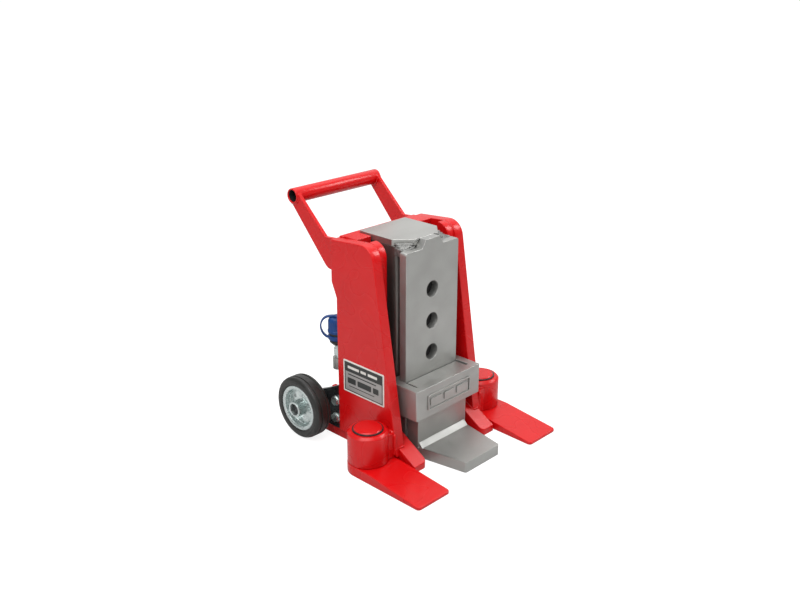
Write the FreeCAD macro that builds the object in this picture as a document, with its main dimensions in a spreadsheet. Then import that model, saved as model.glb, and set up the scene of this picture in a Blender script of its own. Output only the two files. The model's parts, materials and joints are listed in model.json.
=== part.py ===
import FreeCAD, Part
import Sketcher

import os
import re

# Hydraulic toe jack, in millimetres. +X is the operator's right, +Y points to the wheels and handle,
# +Z is up. The origin is on the ground under the axis of the hydraulic cylinder.

LEFT = -1
RIGHT = 1
SIDES = ((LEFT, "left"), (RIGHT, "right"))

DIMENSIONS = [
    # Base and columns
    ("base_thick", 17.5, "thickness of the base plate"),
    ("base_half", 94, "half width of the base plate"),
    ("base_front", -66, "front edge of the base plate"),
    ("base_rear", 80, "rear edge of the base plate"),
    ("arm_in", 66, "inner face of a base arm"),
    ("arm_front", -121, "front end of a base arm"),
    ("arm_tip", 11, "height of a base arm at its front end"),
    ("arm_root", 38, "height of a base arm beside the carriage"),
    ("arm_root_y", -75, "where a base arm reaches its full height"),
    ("arm_round", 8, "plan radius at the tip of a base arm"),
    ("side_out", 100, "outer face of a side plate"),
    ("side_in", 82, "inner face of a side plate"),
    ("side_foot_y", -89.7, "front edge of a side plate at its foot"),
    ("side_head_y", -37.6, "front edge of a side plate at its top, before rounding"),
    ("side_top", 342.5, "height of a side plate at its front"),
    ("side_top_rear", 335, "height of a side plate at its rear"),
    ("side_round", 26, "radius of the upper front corner"),
    ("side_rear", 39.5, "rear edge of a side plate"),
    ("side_rear_top", 50, "rear edge of a side plate beside the handle"),
    ("side_step_low", 244, "where the rear edge starts to widen"),
    ("side_step_high", 268, "where the rear edge is at its widest"),
    ("strip_in", 68, "inner face of a front guide strip"),
    ("strip_front", -38, "front face of a front guide strip"),
    ("groove_front", -15.5, "front wall of the guide groove"),
    ("groove_rear", 11.5, "rear wall of the guide groove"),
    ("strip_top", 340.5, "height of a front guide strip"),
    ("strip_round", 22, "radius at the top of a front guide strip"),
    ("rear_strip_in", 51.5, "inner face of a rear guide strip"),
    ("rear_strip_top", 338.5, "height of a rear guide strip"),
    ("back_front", 40, "front face of the back plate"),
    ("back_rear", 50, "rear face of the back plate"),
    ("back_top", 337, "height of the back plate"),
    # Handle
    ("grip_y", 146.2, "axis of the handle tube"),
    ("grip_z", 382.3, "height of the handle tube"),
    ("grip_radius", 12, "radius of the handle tube"),
    ("grip_bore", 9.5, "bore radius of the handle tube"),
    ("grip_half", 91.4, "half length of the handle tube"),
    ("handle_in", 82.5, "inner face of a handle arm"),
    ("handle_out", 88.5, "outer face of a handle arm"),
    ("handle_half", 11.5, "half width of a handle arm where it meets the tube"),
    ("handle_angle", 47, "slope of a handle arm, in degrees"),
    ("handle_low", 280, "lower end of a handle arm"),
    ("handle_high", 331, "where a handle arm leaves the column"),
    ("handle_knee", 75, "where a handle arm starts to slope"),
    ("handle_step", 2, "how far a handle arm leaves the column above its lower end"),
    ("handle_heel", 6, "rise of the heel of a handle arm"),
    # Swivel feet
    ("pivot_x", 131.5, "swivel axis of a foot"),
    ("pivot_y", -59.1, "swivel axis of a foot"),
    ("hub_radius", 31.5, "outer radius of a foot hub"),
    ("hub_bore", 22, "bore radius of a foot hub"),
    ("hub_top", 68, "top of a foot hub"),
    ("hub_chamfer", 3.5, "chamfer round the top of a foot hub"),
    ("lug_half", 25, "half width of the lug that carries a hub"),
    ("lug_top", 58, "top of the lug that carries a hub"),
    ("seat_radius", 24, "recess for the retaining ring"),
    ("seat_z", 63.8, "floor of the retaining ring's recess"),
    ("pin_radius", 21.95, "radius of a pivot pin"),
    ("pin_top", 71.7, "top of a pivot pin"),
    ("pin_groove", 20.4, "radius of the pin in its ring groove"),
    ("ring_low", 65, "underside of a retaining ring"),
    ("ring_high", 70, "top of a retaining ring"),
    ("ring_radius", 23.7, "outer radius of a retaining ring"),
    ("foot_thick", 16.5, "thickness of a foot under its hub"),
    ("foot_tip", 4.5, "thickness of a foot at its tip"),
    ("foot_radius", 31.9, "radius of a foot's round end"),
    ("foot_front", -195, "tip of a foot"),
    ("foot_flat", -93, "where a foot starts to taper"),
    ("foot_toe_in", 96, "inner edge of a foot at its tip"),
    ("foot_toe_out", 164, "outer edge of a foot at its tip"),
    ("foot_corner", 6, "plan radius at a foot's tip"),
    # Wheels
    ("wheel_y", 91.5, "wheel axis"),
    ("wheel_z", 52.5, "wheel axis"),
    ("wheel_radius", 51.5, "radius of the tyre"),
    ("wheel_mid", 129, "middle plane of a wheel"),
    ("tyre_half", 15, "half width of the tyre"),
    ("tyre_shoulder", 5, "radial step at the shoulder of a tyre"),
    ("tyre_crown", 4, "width of the sloped shoulder of a tyre"),
    ("rim_seat", 33.5, "radius of the rim's tyre seat"),
    ("rim_flange", 37.5, "radius of the rim's flanges"),
    ("rim_half", 13, "half width of the rim"),
    ("rim_sheet", 2.5, "thickness of the rim's pressed sheet"),
    ("rim_dish", 3, "how far the rim disc leans outwards"),
    ("rim_set", 5.5, "outer face of the rim disc at the hub, from the middle plane"),
    ("rim_hub", 13, "outer radius of the rim's hub"),
    ("rim_hub_bore", 9.6, "bore radius of the rim's hub"),
    ("rim_hub_in", 104.8, "inner end of the rim's hub"),
    ("rim_hub_out", 150, "outer end of the rim's hub"),
    ("bush_in", 105, "inner end of a wheel bush"),
    ("bush_out", 141, "outer end of a wheel bush"),
    ("axle_radius", 6, "radius of a stub axle"),
    ("axle_gap", 0.05, "radial clearance of a wheel bush"),
    ("axle_end", 145, "outer end of a stub axle"),
    ("axle_collar", 9, "radius of a stub axle's collar"),
    ("axle_nut", 19, "width across flats of an axle nut"),
    ("collar_play", 0.8, "end play between the axle collar and the rim"),
    ("clip_in", 141.5, "inner face of an axle circlip"),
    ("clip_out", 142.7, "outer face of an axle circlip"),
    ("clip_groove", 5.2, "radius of the axle in its circlip groove"),
    ("bracket_in", 90, "inner face of a wheel bracket"),
    ("bracket_out", 98, "outer face of a wheel bracket"),
    ("bracket_eye", 16, "radius of a bracket round its axle"),
    ("bracket_top", 96, "top of a bracket at the column"),
    ("bracket_heel", 20, "reach of the bracket foot in front of the axle"),
    ("bracket_neck", 22, "reach of the bracket neck behind the column"),
    ("bracket_drop", 12, "fall of the bracket edge over its neck"),
    ("bracket_bolt_y", 47.8, "bracket bolts"),
    ("bracket_bolt_low", 36, "lower bracket bolt"),
    ("bracket_bolt_high", 66, "upper bracket bolt"),
    ("bolt_radius", 4, "bracket bolt thread"),
    ("bolt_flats", 13, "width across flats of a bracket bolt"),
    ("bolt_flange", 1.8, "thickness of a bolt flange"),
    ("bolt_head", 5.5, "height of a bolt head with its flange"),
    ("bolt_skirt", 1.6, "overhang of a bolt flange"),
    ("bolt_gap", 0.5, "clearance behind a bolt end"),
    ("lug_rear", 66, "rear edge of a wheel lug"),
    ("wheel_lug_top", 84, "top of a wheel lug"),
    # Carriage
    ("box_half", 50, "half width of the carriage body"),
    ("box_front", -41, "front face of the carriage body"),
    ("box_rear", 38.5, "rear face of the carriage body"),
    ("box_low", 20, "underside of the carriage"),
    ("box_top", 331, "top of the carriage body"),
    ("box_bore", 32.5, "bore radius of the carriage body"),
    ("box_corner", 11, "radius of the body's front corners"),
    ("cap_top", 341, "top of the head plate"),
    ("cap_bend", -29.9, "where the head plate starts to narrow"),
    ("rail_half", 57.9, "half width of the rail plate"),
    ("rail_front", -67.7, "front face of the rail plate"),
    ("rail_back", -54.1, "back face of the rail plate"),
    ("rail_shoulder", 328.5, "height of the rail plate's shoulders"),
    ("rail_corner", 4, "corner radius of the shoulders"),
    ("tab_base", 23, "half width of the rail plate's tab at its foot"),
    ("tab_head", 15, "half width of the rail plate's tab at its top"),
    ("hole_radius", 13, "radius of a height hole"),
    ("hole_first", 104, "height of the lowest height hole"),
    ("hole_pitch", 52, "pitch of the height holes"),
    ("web_half", 18, "half width of the web behind the rail plate"),
    ("stop_low", 318, "underside of the stops at the top of the rail"),
    ("stop_reach", 4, "overhang of a stop beside the carriage body"),
    ("stop_gap", 1, "clearance of a stop from the body top and the collar"),
    ("guide_out", 80.5, "outer face of a guide bar"),
    ("guide_gap", 0.4, "side clearance of a guide bar"),
    ("guide_low", 24, "lower end of a guide bar"),
    ("guide_high", 190, "upper end of a guide bar"),
    # Toe
    ("toe_half", 56, "half width of the toe's leg"),
    ("toe_back", -68.7, "back face of the toe's leg"),
    ("toe_face", -91.9, "front face of the toe's leg"),
    ("toe_low", 1, "underside of the toe"),
    ("toe_pad", 18.5, "load face of the toe"),
    ("toe_tip", -176.3, "tip of the toe"),
    ("toe_pad_half", 55.3, "half width of the pad at its root"),
    ("toe_tip_half", 39.6, "half width of the pad at its tip"),
    ("toe_bevel", 7.5, "bevel between the pad and the leg"),
    ("toe_bevel_in", 1.6, "how far the bevel stops short of the pad side"),
    ("toe_corner", 4, "plan radius at the tip of the toe"),
    ("leg_top", 121.6, "top of the toe's leg"),
    ("collar_half", 73.4, "half width of the collar"),
    ("collar_front", -104.8, "front face of the collar"),
    ("collar_rear", -43, "rear face of the collar"),
    ("collar_low", 73.2, "underside of the collar"),
    ("collar_top", 122.8, "top of the collar"),
    ("collar_round", 2, "corner radius of the collar"),
    ("collar_leg", 60, "half width of the collar's cavity round the leg"),
    ("collar_rail", 58.5, "half width of the collar's cavity round the rail"),
    ("collar_lip", -53.6, "front face of the collar's rear lips"),
    ("collar_gap", 24, "half width of the opening between the rear lips"),
    ("lock_radius", 12, "radius of the lock pin"),
    ("lock_gap", 0.06, "radial clearance of the lock pin"),
    ("lock_tip", -69.2, "tip of the lock pin when withdrawn"),
    ("lock_tail", -98.9, "tail of the lock pin when withdrawn"),
    ("lock_pocket", -101, "end of the lock pin's bore"),
    ("lock_chamfer", 1.5, "chamfer at the tip of the lock pin"),
    # Hydraulic cylinder
    ("barrel_radius", 31, "outer radius of the cylinder barrel"),
    ("bore_radius", 25, "bore radius of the cylinder"),
    ("barrel_low", 33, "lower end of the barrel"),
    ("barrel_top", 300, "upper end of the barrel"),
    ("gland_low", 268, "underside of the gland nut"),
    ("gland_top", 306, "top of the gland nut"),
    ("seal_low", 280, "lower edge of the rod seal"),
    ("seal_high", 286, "upper edge of the rod seal"),
    ("seal_radius", 18, "outer radius of the rod seal"),
    ("rod_radius", 15, "radius of the piston rod"),
    ("spigot_radius", 10, "radius of the rod's spigot in the piston"),
    ("fit_gap", 0.05, "radial running clearance in the cylinder"),
    ("piston_low", 36, "underside of the piston"),
    ("piston_top", 61, "top of the piston"),
    ("ring_seal_low", 45, "lower edge of the piston seal"),
    ("ring_seal_high", 51, "upper edge of the piston seal"),
    ("ring_seal_root", 21, "inner radius of the piston seal"),
    ("spring_radius", 20, "mean radius of the return spring"),
    ("spring_wire", 2, "wire radius of the return spring"),
    ("spring_turns", 9, "turns of the return spring"),
    ("oil_radius", 3, "radius of the oil passages"),
    ("oil_level", 8, "height of the passage in the base plate"),
    ("plug_front", 72, "front end of the plug in the oil passage"),
    ("plug_radius", 5, "radius of the plug in the oil passage"),
    # Pump coupling
    ("port_x", -74.4, "axis of the pump coupling"),
    ("port_y", 67, "axis of the pump coupling"),
    ("elbow_low", 109.5, "underside of the port elbow"),
    ("elbow_high", 129, "top of the port elbow"),
    ("elbow_radius", 8.7, "radius of the port elbow"),
    ("elbow_reach", 19, "reach of the elbow's side boss"),
    ("elbow_seat", 7, "radius of the boss that carries the elbow on the back plate"),
    ("adapter_top", 151, "top of the coupler adapter"),
    ("adapter_radius", 5.5, "radius of the coupler adapter"),
    ("adapter_flats", 13, "width across flats of the adapter"),
    ("adapter_hex", 4, "how far the hexagon stands above the elbow"),
    ("adapter_hex_long", 12, "length of the hexagon of the adapter"),
    ("coupler_radius", 13, "radius of the coupler body"),
    ("coupler_taper", 5, "taper at the foot of the coupler body"),
    ("cap_low", 172.5, "rim of the dust cap"),
    ("cap_high", 198, "top of the dust cap"),
    ("cap_radius", 15.8, "radius of the dust cap"),
    ("nose_radius", 10.5, "radius of the coupler's nose"),
    ("neck_low", 161, "lower edge of the strap's neck ring"),
    ("neck_high", 168, "upper edge of the strap's neck ring"),
    ("strap_thick", 2.5, "thickness of the cap strap"),
    ("strap_half", 3.5, "half width of the cap strap"),
    ("strap_reach", 27.7, "how far the cap strap stands out from the axis"),
    ("strap_shoulder", 11, "how far the strap is rounded in at the top"),
    ("strap_low", 22, "where the strap starts to turn in below, under the cap top"),
    ("strap_high", 8, "where the strap starts to turn in above, under the cap top"),
    ("pipe_radius", 4, "radius of the oil pipe"),
    ("pipe_bend", 18, "bend radius of the oil pipe"),
    ("pipe_nut", 14, "width across flats of a pipe nut"),
    ("pipe_nut_long", 12, "length of a pipe nut"),
    # Label
    ("label_front", -63, "front edge of the label plate"),
    ("label_rear", 26, "rear edge of the label plate"),
    ("label_low", 93.4, "lower edge of the label plate"),
    ("label_high", 147.2, "upper edge of the label plate"),
    ("label_thick", 0.8, "thickness of the label plate"),
]
HOLE_COUNT = 4
HEXAGON = 6

doc = FreeCAD.newDocument("ToeJack")
nodes = []


# The dimension sheet and expressions on it

def build_sheet():
    """The driving dimensions, one row each: meaning, value with its alias."""
    table = doc.addObject("Spreadsheet::Sheet", "Dims")
    for row, (alias, size, meaning) in enumerate(DIMENSIONS, start=1):
        table.set(f"A{row}", meaning)
        table.set(f"B{row}", str(size))
        table.setAlias(f"B{row}", alias)
    doc.recompute()
    return table


sheet = build_sheet()
ALIASES = {row[0] for row in DIMENSIONS}


def bound(text):
    """An expression on the sheet: every dimension's name gets the sheet's name in front."""
    return re.sub(r"[a-z_]+", lambda word: f"Dims.{word[0]}" if word[0] in ALIASES else word[0], text)


def size_of(text):
    """The present value of an expression, in millimetres."""
    result = sheet.evalExpression(re.sub(r"Dims\.", "", bound(text)))
    return float(getattr(result, "Value", result))


def bind(thing, **properties):
    """Bind properties of an object to expressions; a double underscore stands for a dot."""
    for name, text in properties.items():
        thing.setExpression(name.replace("__", "."), bound(text))
    return thing


def keep(thing):
    """Make an object a node of the model, labelled with its name."""
    thing.Label = thing.Name
    nodes.append(thing)
    return thing


# Part primitives

def block(name, x_range, y_range, z_range):
    box = doc.addObject("Part::Box", name)
    bind(
        box,
        Length=f"({x_range[1]}) - ({x_range[0]})",
        Width=f"({y_range[1]}) - ({y_range[0]})",
        Height=f"({z_range[1]}) - ({z_range[0]})",
        Placement__Base__x=x_range[0],
        Placement__Base__y=y_range[0],
        Placement__Base__z=z_range[0],
    )
    return box


TURN = {
    "z": FreeCAD.Rotation(),
    "x": FreeCAD.Rotation(FreeCAD.Vector(0, 1, 0), 90),
    "y": FreeCAD.Rotation(FreeCAD.Vector(1, 0, 0), -90),
}


def place(thing, axis, start):
    thing.Placement = FreeCAD.Placement(FreeCAD.Vector(), TURN[axis])
    x, y, z = start
    return bind(thing, Placement__Base__x=x, Placement__Base__y=y, Placement__Base__z=z)


def rod(name, axis, start, radius, length):
    """A round bar from a start point along +x, +y or +z."""
    bar = doc.addObject("Part::Cylinder", name)
    bind(bar, Radius=radius, Height=length)
    return place(bar, axis, start)


def hexagon(name, axis, start, flats, length):
    prism = doc.addObject("Part::Prism", name)
    prism.Polygon = HEXAGON
    bind(prism, Circumradius=f"({flats}) / sqrt(3)", Height=length)
    return place(prism, axis, start)


def fused(name, pieces):
    union = doc.addObject("Part::MultiFuse", name)
    union.Shapes = pieces
    union.Refine = True
    return union


def cut(name, base, tool):
    difference = doc.addObject("Part::Cut", name)
    difference.Base = base
    difference.Tool = tool
    difference.Refine = True
    return difference


def group(name, pieces):
    """Identical separate solids that share one node."""
    compound = doc.addObject("Part::Compound", name)
    compound.Links = pieces
    return keep(compound)


# PartDesign bodies

def origin_plane(body, role):
    return next(item for item in body.Origin.OriginFeatures if item.Role == role)


def new_body(name):
    return doc.addObject("PartDesign::Body", name)


def new_sketch(body, plane, shift=("0", "0", "0")):
    """A sketch on one of the body's own origin planes, moved by a shift in the sketch's own axes."""
    sketch = body.newObject("Sketcher::SketchObject", body.Name + "_sketch")
    sketch.AttachmentSupport = [(origin_plane(body, plane), "")]
    sketch.MapMode = "FlatFace"
    for axis, text in zip("xyz", shift):
        sketch.setExpression(f"AttachmentOffset.Base.{axis}", bound(text))
    return sketch


def pin_point(sketch, geometry, point, place_text):
    """Fix a sketch point at a place given by two expressions."""
    for kind, axis_line, text in zip(("DistanceX", "DistanceY"), (-2, -1), place_text):
        if abs(size_of(text)) < 1e-9:
            sketch.addConstraint(Sketcher.Constraint("PointOnObject", geometry, point, axis_line))
            continue
        number = sketch.addConstraint(
            Sketcher.Constraint(kind, -1, 1, geometry, point, size_of(text))
        )
        name = f"{kind}_{number}"
        sketch.renameConstraint(number, name)
        sketch.setExpression(f"Constraints.{name}", bound(text))


def polygon(sketch, corners):
    """A closed outline of straight lines; each corner is a pair of expressions."""
    points = [FreeCAD.Vector(size_of(a), size_of(b), 0) for a, b in corners]
    lines = []
    for start, end in zip(points, points[1:] + points[:1]):
        lines.append(sketch.addGeometry(Part.LineSegment(start, end), False))
    for line, following in zip(lines, lines[1:] + lines[:1]):
        sketch.addConstraint(Sketcher.Constraint("Coincident", line, 2, following, 1))
    for line, corner in zip(lines, corners):
        pin_point(sketch, line, 1, corner)
    return sketch


def circle(sketch, centre, radius):
    middle = FreeCAD.Vector(size_of(centre[0]), size_of(centre[1]), 0)
    ring = Part.Circle(middle, FreeCAD.Vector(0, 0, 1), size_of(radius))
    number = sketch.addGeometry(ring, False)
    pin_point(sketch, number, 3, centre)
    constraint = sketch.addConstraint(Sketcher.Constraint("Radius", number, size_of(radius)))
    name = f"Radius_{constraint}"
    sketch.renameConstraint(constraint, name)
    sketch.setExpression(f"Constraints.{name}", bound(radius))
    return sketch


def pad(body, sketch, length):
    feature = body.newObject("PartDesign::Pad", body.Name + "_pad")
    feature.Profile = sketch
    return bind(feature, Length=length)


def pocket(body, sketch, length, along_normal=False):
    """Cut a sketch into the body, against its normal or along it, and prove that it cut."""
    before = body.Shape.Volume
    feature = body.newObject("PartDesign::Pocket", body.Name + "_pocket")
    feature.Profile = sketch
    feature.Reversed = along_normal
    bind(feature, Length=length)
    doc.recompute()
    if body.Shape.Volume > before - 1:
        raise RuntimeError(f"a pocket of {body.Label} cut nothing")
    return feature


def revolve(name, corners, shift, axis):
    """A turned piece: an outline on the XZ plane turned about the sketch's own axis."""
    body = new_body(name)
    sketch = polygon(new_sketch(body, "XZ_Plane", shift), corners)
    feature = body.newObject("PartDesign::Revolution", body.Name + "_turned")
    feature.Profile = sketch
    feature.ReferenceAxis = (sketch, [axis])
    feature.Angle = 360
    return body


def upright_turning(name, corners, centre=("0", "0")):
    """A piece turned about a vertical axis; corners are radius and height."""
    x, y = centre
    return revolve(name, corners, (x, "0", f"-({y})"), "V_Axis")


def wheel_turning(name, side, corners):
    """A piece turned about the wheel axis; corners are distance from the middle of the jack, radius."""
    mirrored = [(f"{side} * ({x})", radius) for x, radius in corners]
    return revolve(name, mirrored, ("0", "wheel_z", "-wheel_y"), "H_Axis")


def plate_across(name, side, inner, outer, corners):
    """A plate that lies in a YZ plane between two distances from the middle of the jack."""
    body = new_body(name)
    level = inner if side == RIGHT else f"-({outer})"
    pad(body, polygon(new_sketch(body, "YZ_Plane", ("0", "0", level)), corners), f"({outer}) - ({inner})")
    doc.recompute()
    return body


def plate_level(name, corners, low, high):
    """A level plate between two heights."""
    body = new_body(name)
    pad(body, polygon(new_sketch(body, "XY_Plane", ("0", "0", low)), corners), f"({high}) - ({low})")
    doc.recompute()
    return body


def edges_where(body, wanted):
    """Names of the body's straight or round edges whose middle and direction pass a test."""
    names = []
    for number, edge in enumerate(body.Shape.Edges, start=1):
        middle = edge.valueAt((edge.FirstParameter + edge.LastParameter) / 2)
        direction = edge.tangentAt(edge.FirstParameter)
        if wanted(middle, direction):
            names.append(f"Edge{number}")
    return names


def dress(body, kind, size, wanted):
    """Round or chamfer the edges that pass a test."""
    names = edges_where(body, wanted)
    if not names:
        raise RuntimeError(f"no edge of {body.Label} to dress")
    base = body.Tip
    feature = body.newObject(f"PartDesign::{kind}", f"{body.Name}_{kind}")
    feature.Base = (base, names)
    bind(feature, **{"Radius" if kind == "Fillet" else "Size": size})
    doc.recompute()
    return feature


def along(axis, *places):
    """Test for straight edges along one axis (0, 1, 2 for X, Y, Z) at places given by the other two."""
    others = [number for number in range(3) if number != axis]
    spots = [tuple(size_of(text) for text in place_text) for place_text in places]

    def wanted(middle, direction):
        here = [middle[number] for number in others]
        near = any(abs(here[0] - a) < 0.1 and abs(here[1] - b) < 0.1 for a, b in spots)
        return near and abs(direction[axis]) > 0.99

    return wanted


def level_at(height_text):
    """Test for level edges at one height."""
    height = size_of(height_text)

    def wanted(middle, direction):
        return abs(middle.z - height) < 0.01 and abs(direction.z) < 0.01

    return wanted


def across(x_half, y_low, y_high):
    """The corners of a rectangle that is symmetric about the middle of the jack."""
    return [(f"-({x_half})", y_low), (x_half, y_low), (x_half, y_high), (f"-({x_half})", y_high)]


# Welded frame

def make_base():
    """The base plate, drilled for the oil, the plug of the drilling, and two forward arms."""
    slab = block("base_slab", ("-base_half", "base_half"), ("base_front", "base_rear"), ("0", "base_thick"))
    depth = "base_thick - oil_level"
    drills = [
        rod("drill_inlet", "z", ("0", "port_y", "oil_level"), "oil_radius", depth),
        rod("drill_outlet", "z", ("0", "0", "oil_level"), "oil_radius", depth),
        rod("drill_across", "y", ("0", "0", "oil_level"), "oil_radius", "base_rear"),
        rod("plug_seat", "y", ("0", "plug_front", "oil_level"), "plug_radius", "base_rear - plug_front"),
    ]
    keep(cut("base_plate", slab, fused("base_drillings", drills)))
    start = ("0", "plug_front", "oil_level")
    keep(rod("passage_plug", "y", start, "plug_radius", "base_rear - plug_front"))
    lean = "(side_head_y - side_foot_y) / (side_top - base_thick)"
    rise = "(arm_root - arm_tip) / (arm_root_y - arm_front)"
    for side, hand in SIDES:
        outline = [
            ("base_front", "0"),
            ("arm_front", "0"),
            ("arm_front", "arm_tip"),
            ("base_front", f"arm_tip + (base_front - arm_front) * {rise}"),
        ]
        arm = plate_across(f"base_arm_{hand}", side, "arm_in", "base_half", outline)
        keep(arm)
        column = [
            ("side_foot_y", "base_thick"),
            ("0", "base_thick"),
            ("0", "side_in"),
            (f"side_foot_y + (side_in - base_thick) * {lean}", "side_in"),
        ]
        level = "base_half" if side == RIGHT else "-side_in"
        notch = polygon(new_sketch(arm, "YZ_Plane", ("0", "0", level)), column)
        pocket(arm, notch, "base_half - side_in")
        dress(arm, "Fillet", "arm_round", along(2, (f"{side} * arm_in", "arm_front")))


def make_columns():
    """Side plates, the guide strips inside them and the back plate."""
    fronts = []
    rears = []
    for side, hand in SIDES:
        outline = [
            ("side_foot_y", "base_thick"),
            ("side_head_y", "side_top"),
            ("side_rear_top", "side_top_rear"),
            ("side_rear_top", "side_step_high"),
            ("side_rear", "side_step_low"),
            ("side_rear", "base_thick"),
        ]
        plate = plate_across(f"side_plate_{hand}", side, "side_in", "side_out", outline)
        keep(plate)
        dress(plate, "Fillet", "side_round", along(0, ("side_head_y", "side_top")))
        front = [
            ("strip_front", "base_thick"),
            ("strip_front", "strip_top"),
            ("groove_front", "strip_top"),
            ("groove_front", "base_thick"),
        ]
        strip = plate_across(f"front_strip_{hand}", side, "strip_in", "side_in", front)
        dress(strip, "Fillet", "strip_round", along(0, ("strip_front", "strip_top")))
        fronts.append(strip)
        reach = sorted((f"{side} * rear_strip_in", f"{side} * side_in"), key=size_of)
        rear = block(
            f"rear_strip_{hand}",
            reach,
            ("groove_rear", "back_front"),
            ("base_thick", "rear_strip_top"),
        )
        rears.append(rear)
    group("guide_strips_front", fronts)
    group("guide_strips_rear", rears)
    back = block(
        "back_plate", ("-side_in", "side_in"), ("back_front", "back_rear"), ("base_thick", "back_top")
    )
    keep(back)


def make_handle():
    """Two sloping flat arms, each hollowed to fit the tube that joins them."""
    tube = rod("grip_bar", "x", ("-grip_half", "grip_y", "grip_z"), "grip_radius", "2 * grip_half")
    bore = rod("grip_hollow", "x", ("-grip_half", "grip_y", "grip_z"), "grip_bore", "2 * grip_half")
    keep(cut("handle_tube", tube, bore))
    across_y = "handle_half * sin(handle_angle)"
    across_z = "handle_half * cos(handle_angle)"
    for side, hand in SIDES:
        outline = [
            ("side_rear_top", "handle_low"),
            ("handle_knee - handle_heel", "handle_low + handle_step"),
            ("handle_knee", "handle_low + handle_heel"),
            (f"grip_y + {across_y}", f"grip_z - {across_z}"),
            (f"grip_y - {across_y}", f"grip_z + {across_z}"),
            ("handle_knee", "handle_high"),
            ("side_rear_top", "handle_high + handle_step"),
        ]
        arm = plate_across(f"handle_arm_{hand}", side, "handle_in", "handle_out", outline)
        keep(arm)
        far = "handle_out" if side == RIGHT else "-handle_in"
        hole = circle(new_sketch(arm, "YZ_Plane", ("0", "0", far)), ("grip_y", "grip_z"), "grip_radius")
        pocket(arm, hole, "handle_out - handle_in")


def make_label():
    """A thin plate fixed to the left side plate."""
    plate = block(
        "label_plate",
        ("-side_out - label_thick", "-side_out"),
        ("label_front", "label_rear"),
        ("label_low", "label_high"),
    )
    keep(plate)


# Swivel feet

def make_foot_hubs():
    """A hub on each side with its lug, bored for the pivot pin."""
    for side, hand in SIDES:
        centre = (f"{side} * pivot_x", "pivot_y")
        hub = keep(new_body(f"foot_hub_{hand}"))
        ring = circle(new_sketch(hub, "XY_Plane", ("0", "0", "base_thick")), centre, "hub_radius")
        pad(hub, ring, "hub_top - base_thick")
        doc.recompute()
        dress(hub, "Chamfer", "hub_chamfer", level_at("hub_top"))
        lug = [
            (f"{side} * side_out", "pivot_y - lug_half"),
            (f"{side} * pivot_x", "pivot_y - lug_half"),
            (f"{side} * pivot_x", "pivot_y + lug_half"),
            (f"{side} * side_out", "pivot_y + lug_half"),
        ]
        foot = polygon(new_sketch(hub, "XY_Plane", ("0", "0", "base_thick")), lug)
        pad(hub, foot, "lug_top - base_thick")
        doc.recompute()
        bore = circle(new_sketch(hub, "XY_Plane", ("0", "0", "hub_top")), centre, "hub_bore")
        pocket(hub, bore, "hub_top - base_thick")
        seat = circle(new_sketch(hub, "XY_Plane", ("0", "0", "hub_top")), centre, "seat_radius")
        pocket(hub, seat, "hub_top - seat_z")


def make_feet():
    """Flat feet that taper to the tip, their pivot pins and retaining rings."""
    for side, hand in SIDES:
        centre = (f"{side} * pivot_x", "pivot_y")
        outline = [
            (f"{side} * (pivot_x - foot_radius)", "pivot_y"),
            (f"{side} * foot_toe_in", "foot_front"),
            (f"{side} * foot_toe_out", "foot_front"),
            (f"{side} * (pivot_x + foot_radius)", "pivot_y"),
        ]
        foot = plate_level(f"swivel_foot_{hand}", outline, "0", "foot_thick")
        keep(foot)
        corners = [(f"{side} * {edge}", "foot_front") for edge in ("foot_toe_in", "foot_toe_out")]
        dress(foot, "Fillet", "foot_corner", along(2, *corners))
        heel = circle(new_sketch(foot, "XY_Plane"), centre, "foot_radius")
        pad(foot, heel, "foot_thick")
        doc.recompute()
        wedge = [
            ("foot_flat", "foot_thick"),
            ("foot_front - 1", "foot_tip"),
            ("foot_front - 1", "foot_thick + 1"),
            ("foot_flat", "foot_thick + 1"),
        ]
        level = "2 * pivot_x" if side == RIGHT else "0"
        pocket(foot, polygon(new_sketch(foot, "YZ_Plane", ("0", "0", level)), wedge), "2 * pivot_x")
        pin = [
            ("0", "foot_thick"),
            ("pin_radius", "foot_thick"),
            ("pin_radius", "ring_low"),
            ("pin_groove", "ring_low"),
            ("pin_groove", "ring_high"),
            ("pin_radius", "ring_high"),
            ("pin_radius", "pin_top - 1.5"),
            ("pin_radius - 1.5", "pin_top"),
            ("0", "pin_top"),
        ]
        keep(upright_turning(f"foot_pin_{hand}", pin, centre))
        ring = [
            ("pin_groove", "ring_low"),
            ("ring_radius", "ring_low"),
            ("ring_radius", "ring_high"),
            ("pin_groove", "ring_high"),
        ]
        keep(upright_turning(f"retaining_ring_{hand}", ring, centre))


# Wheels

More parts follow.
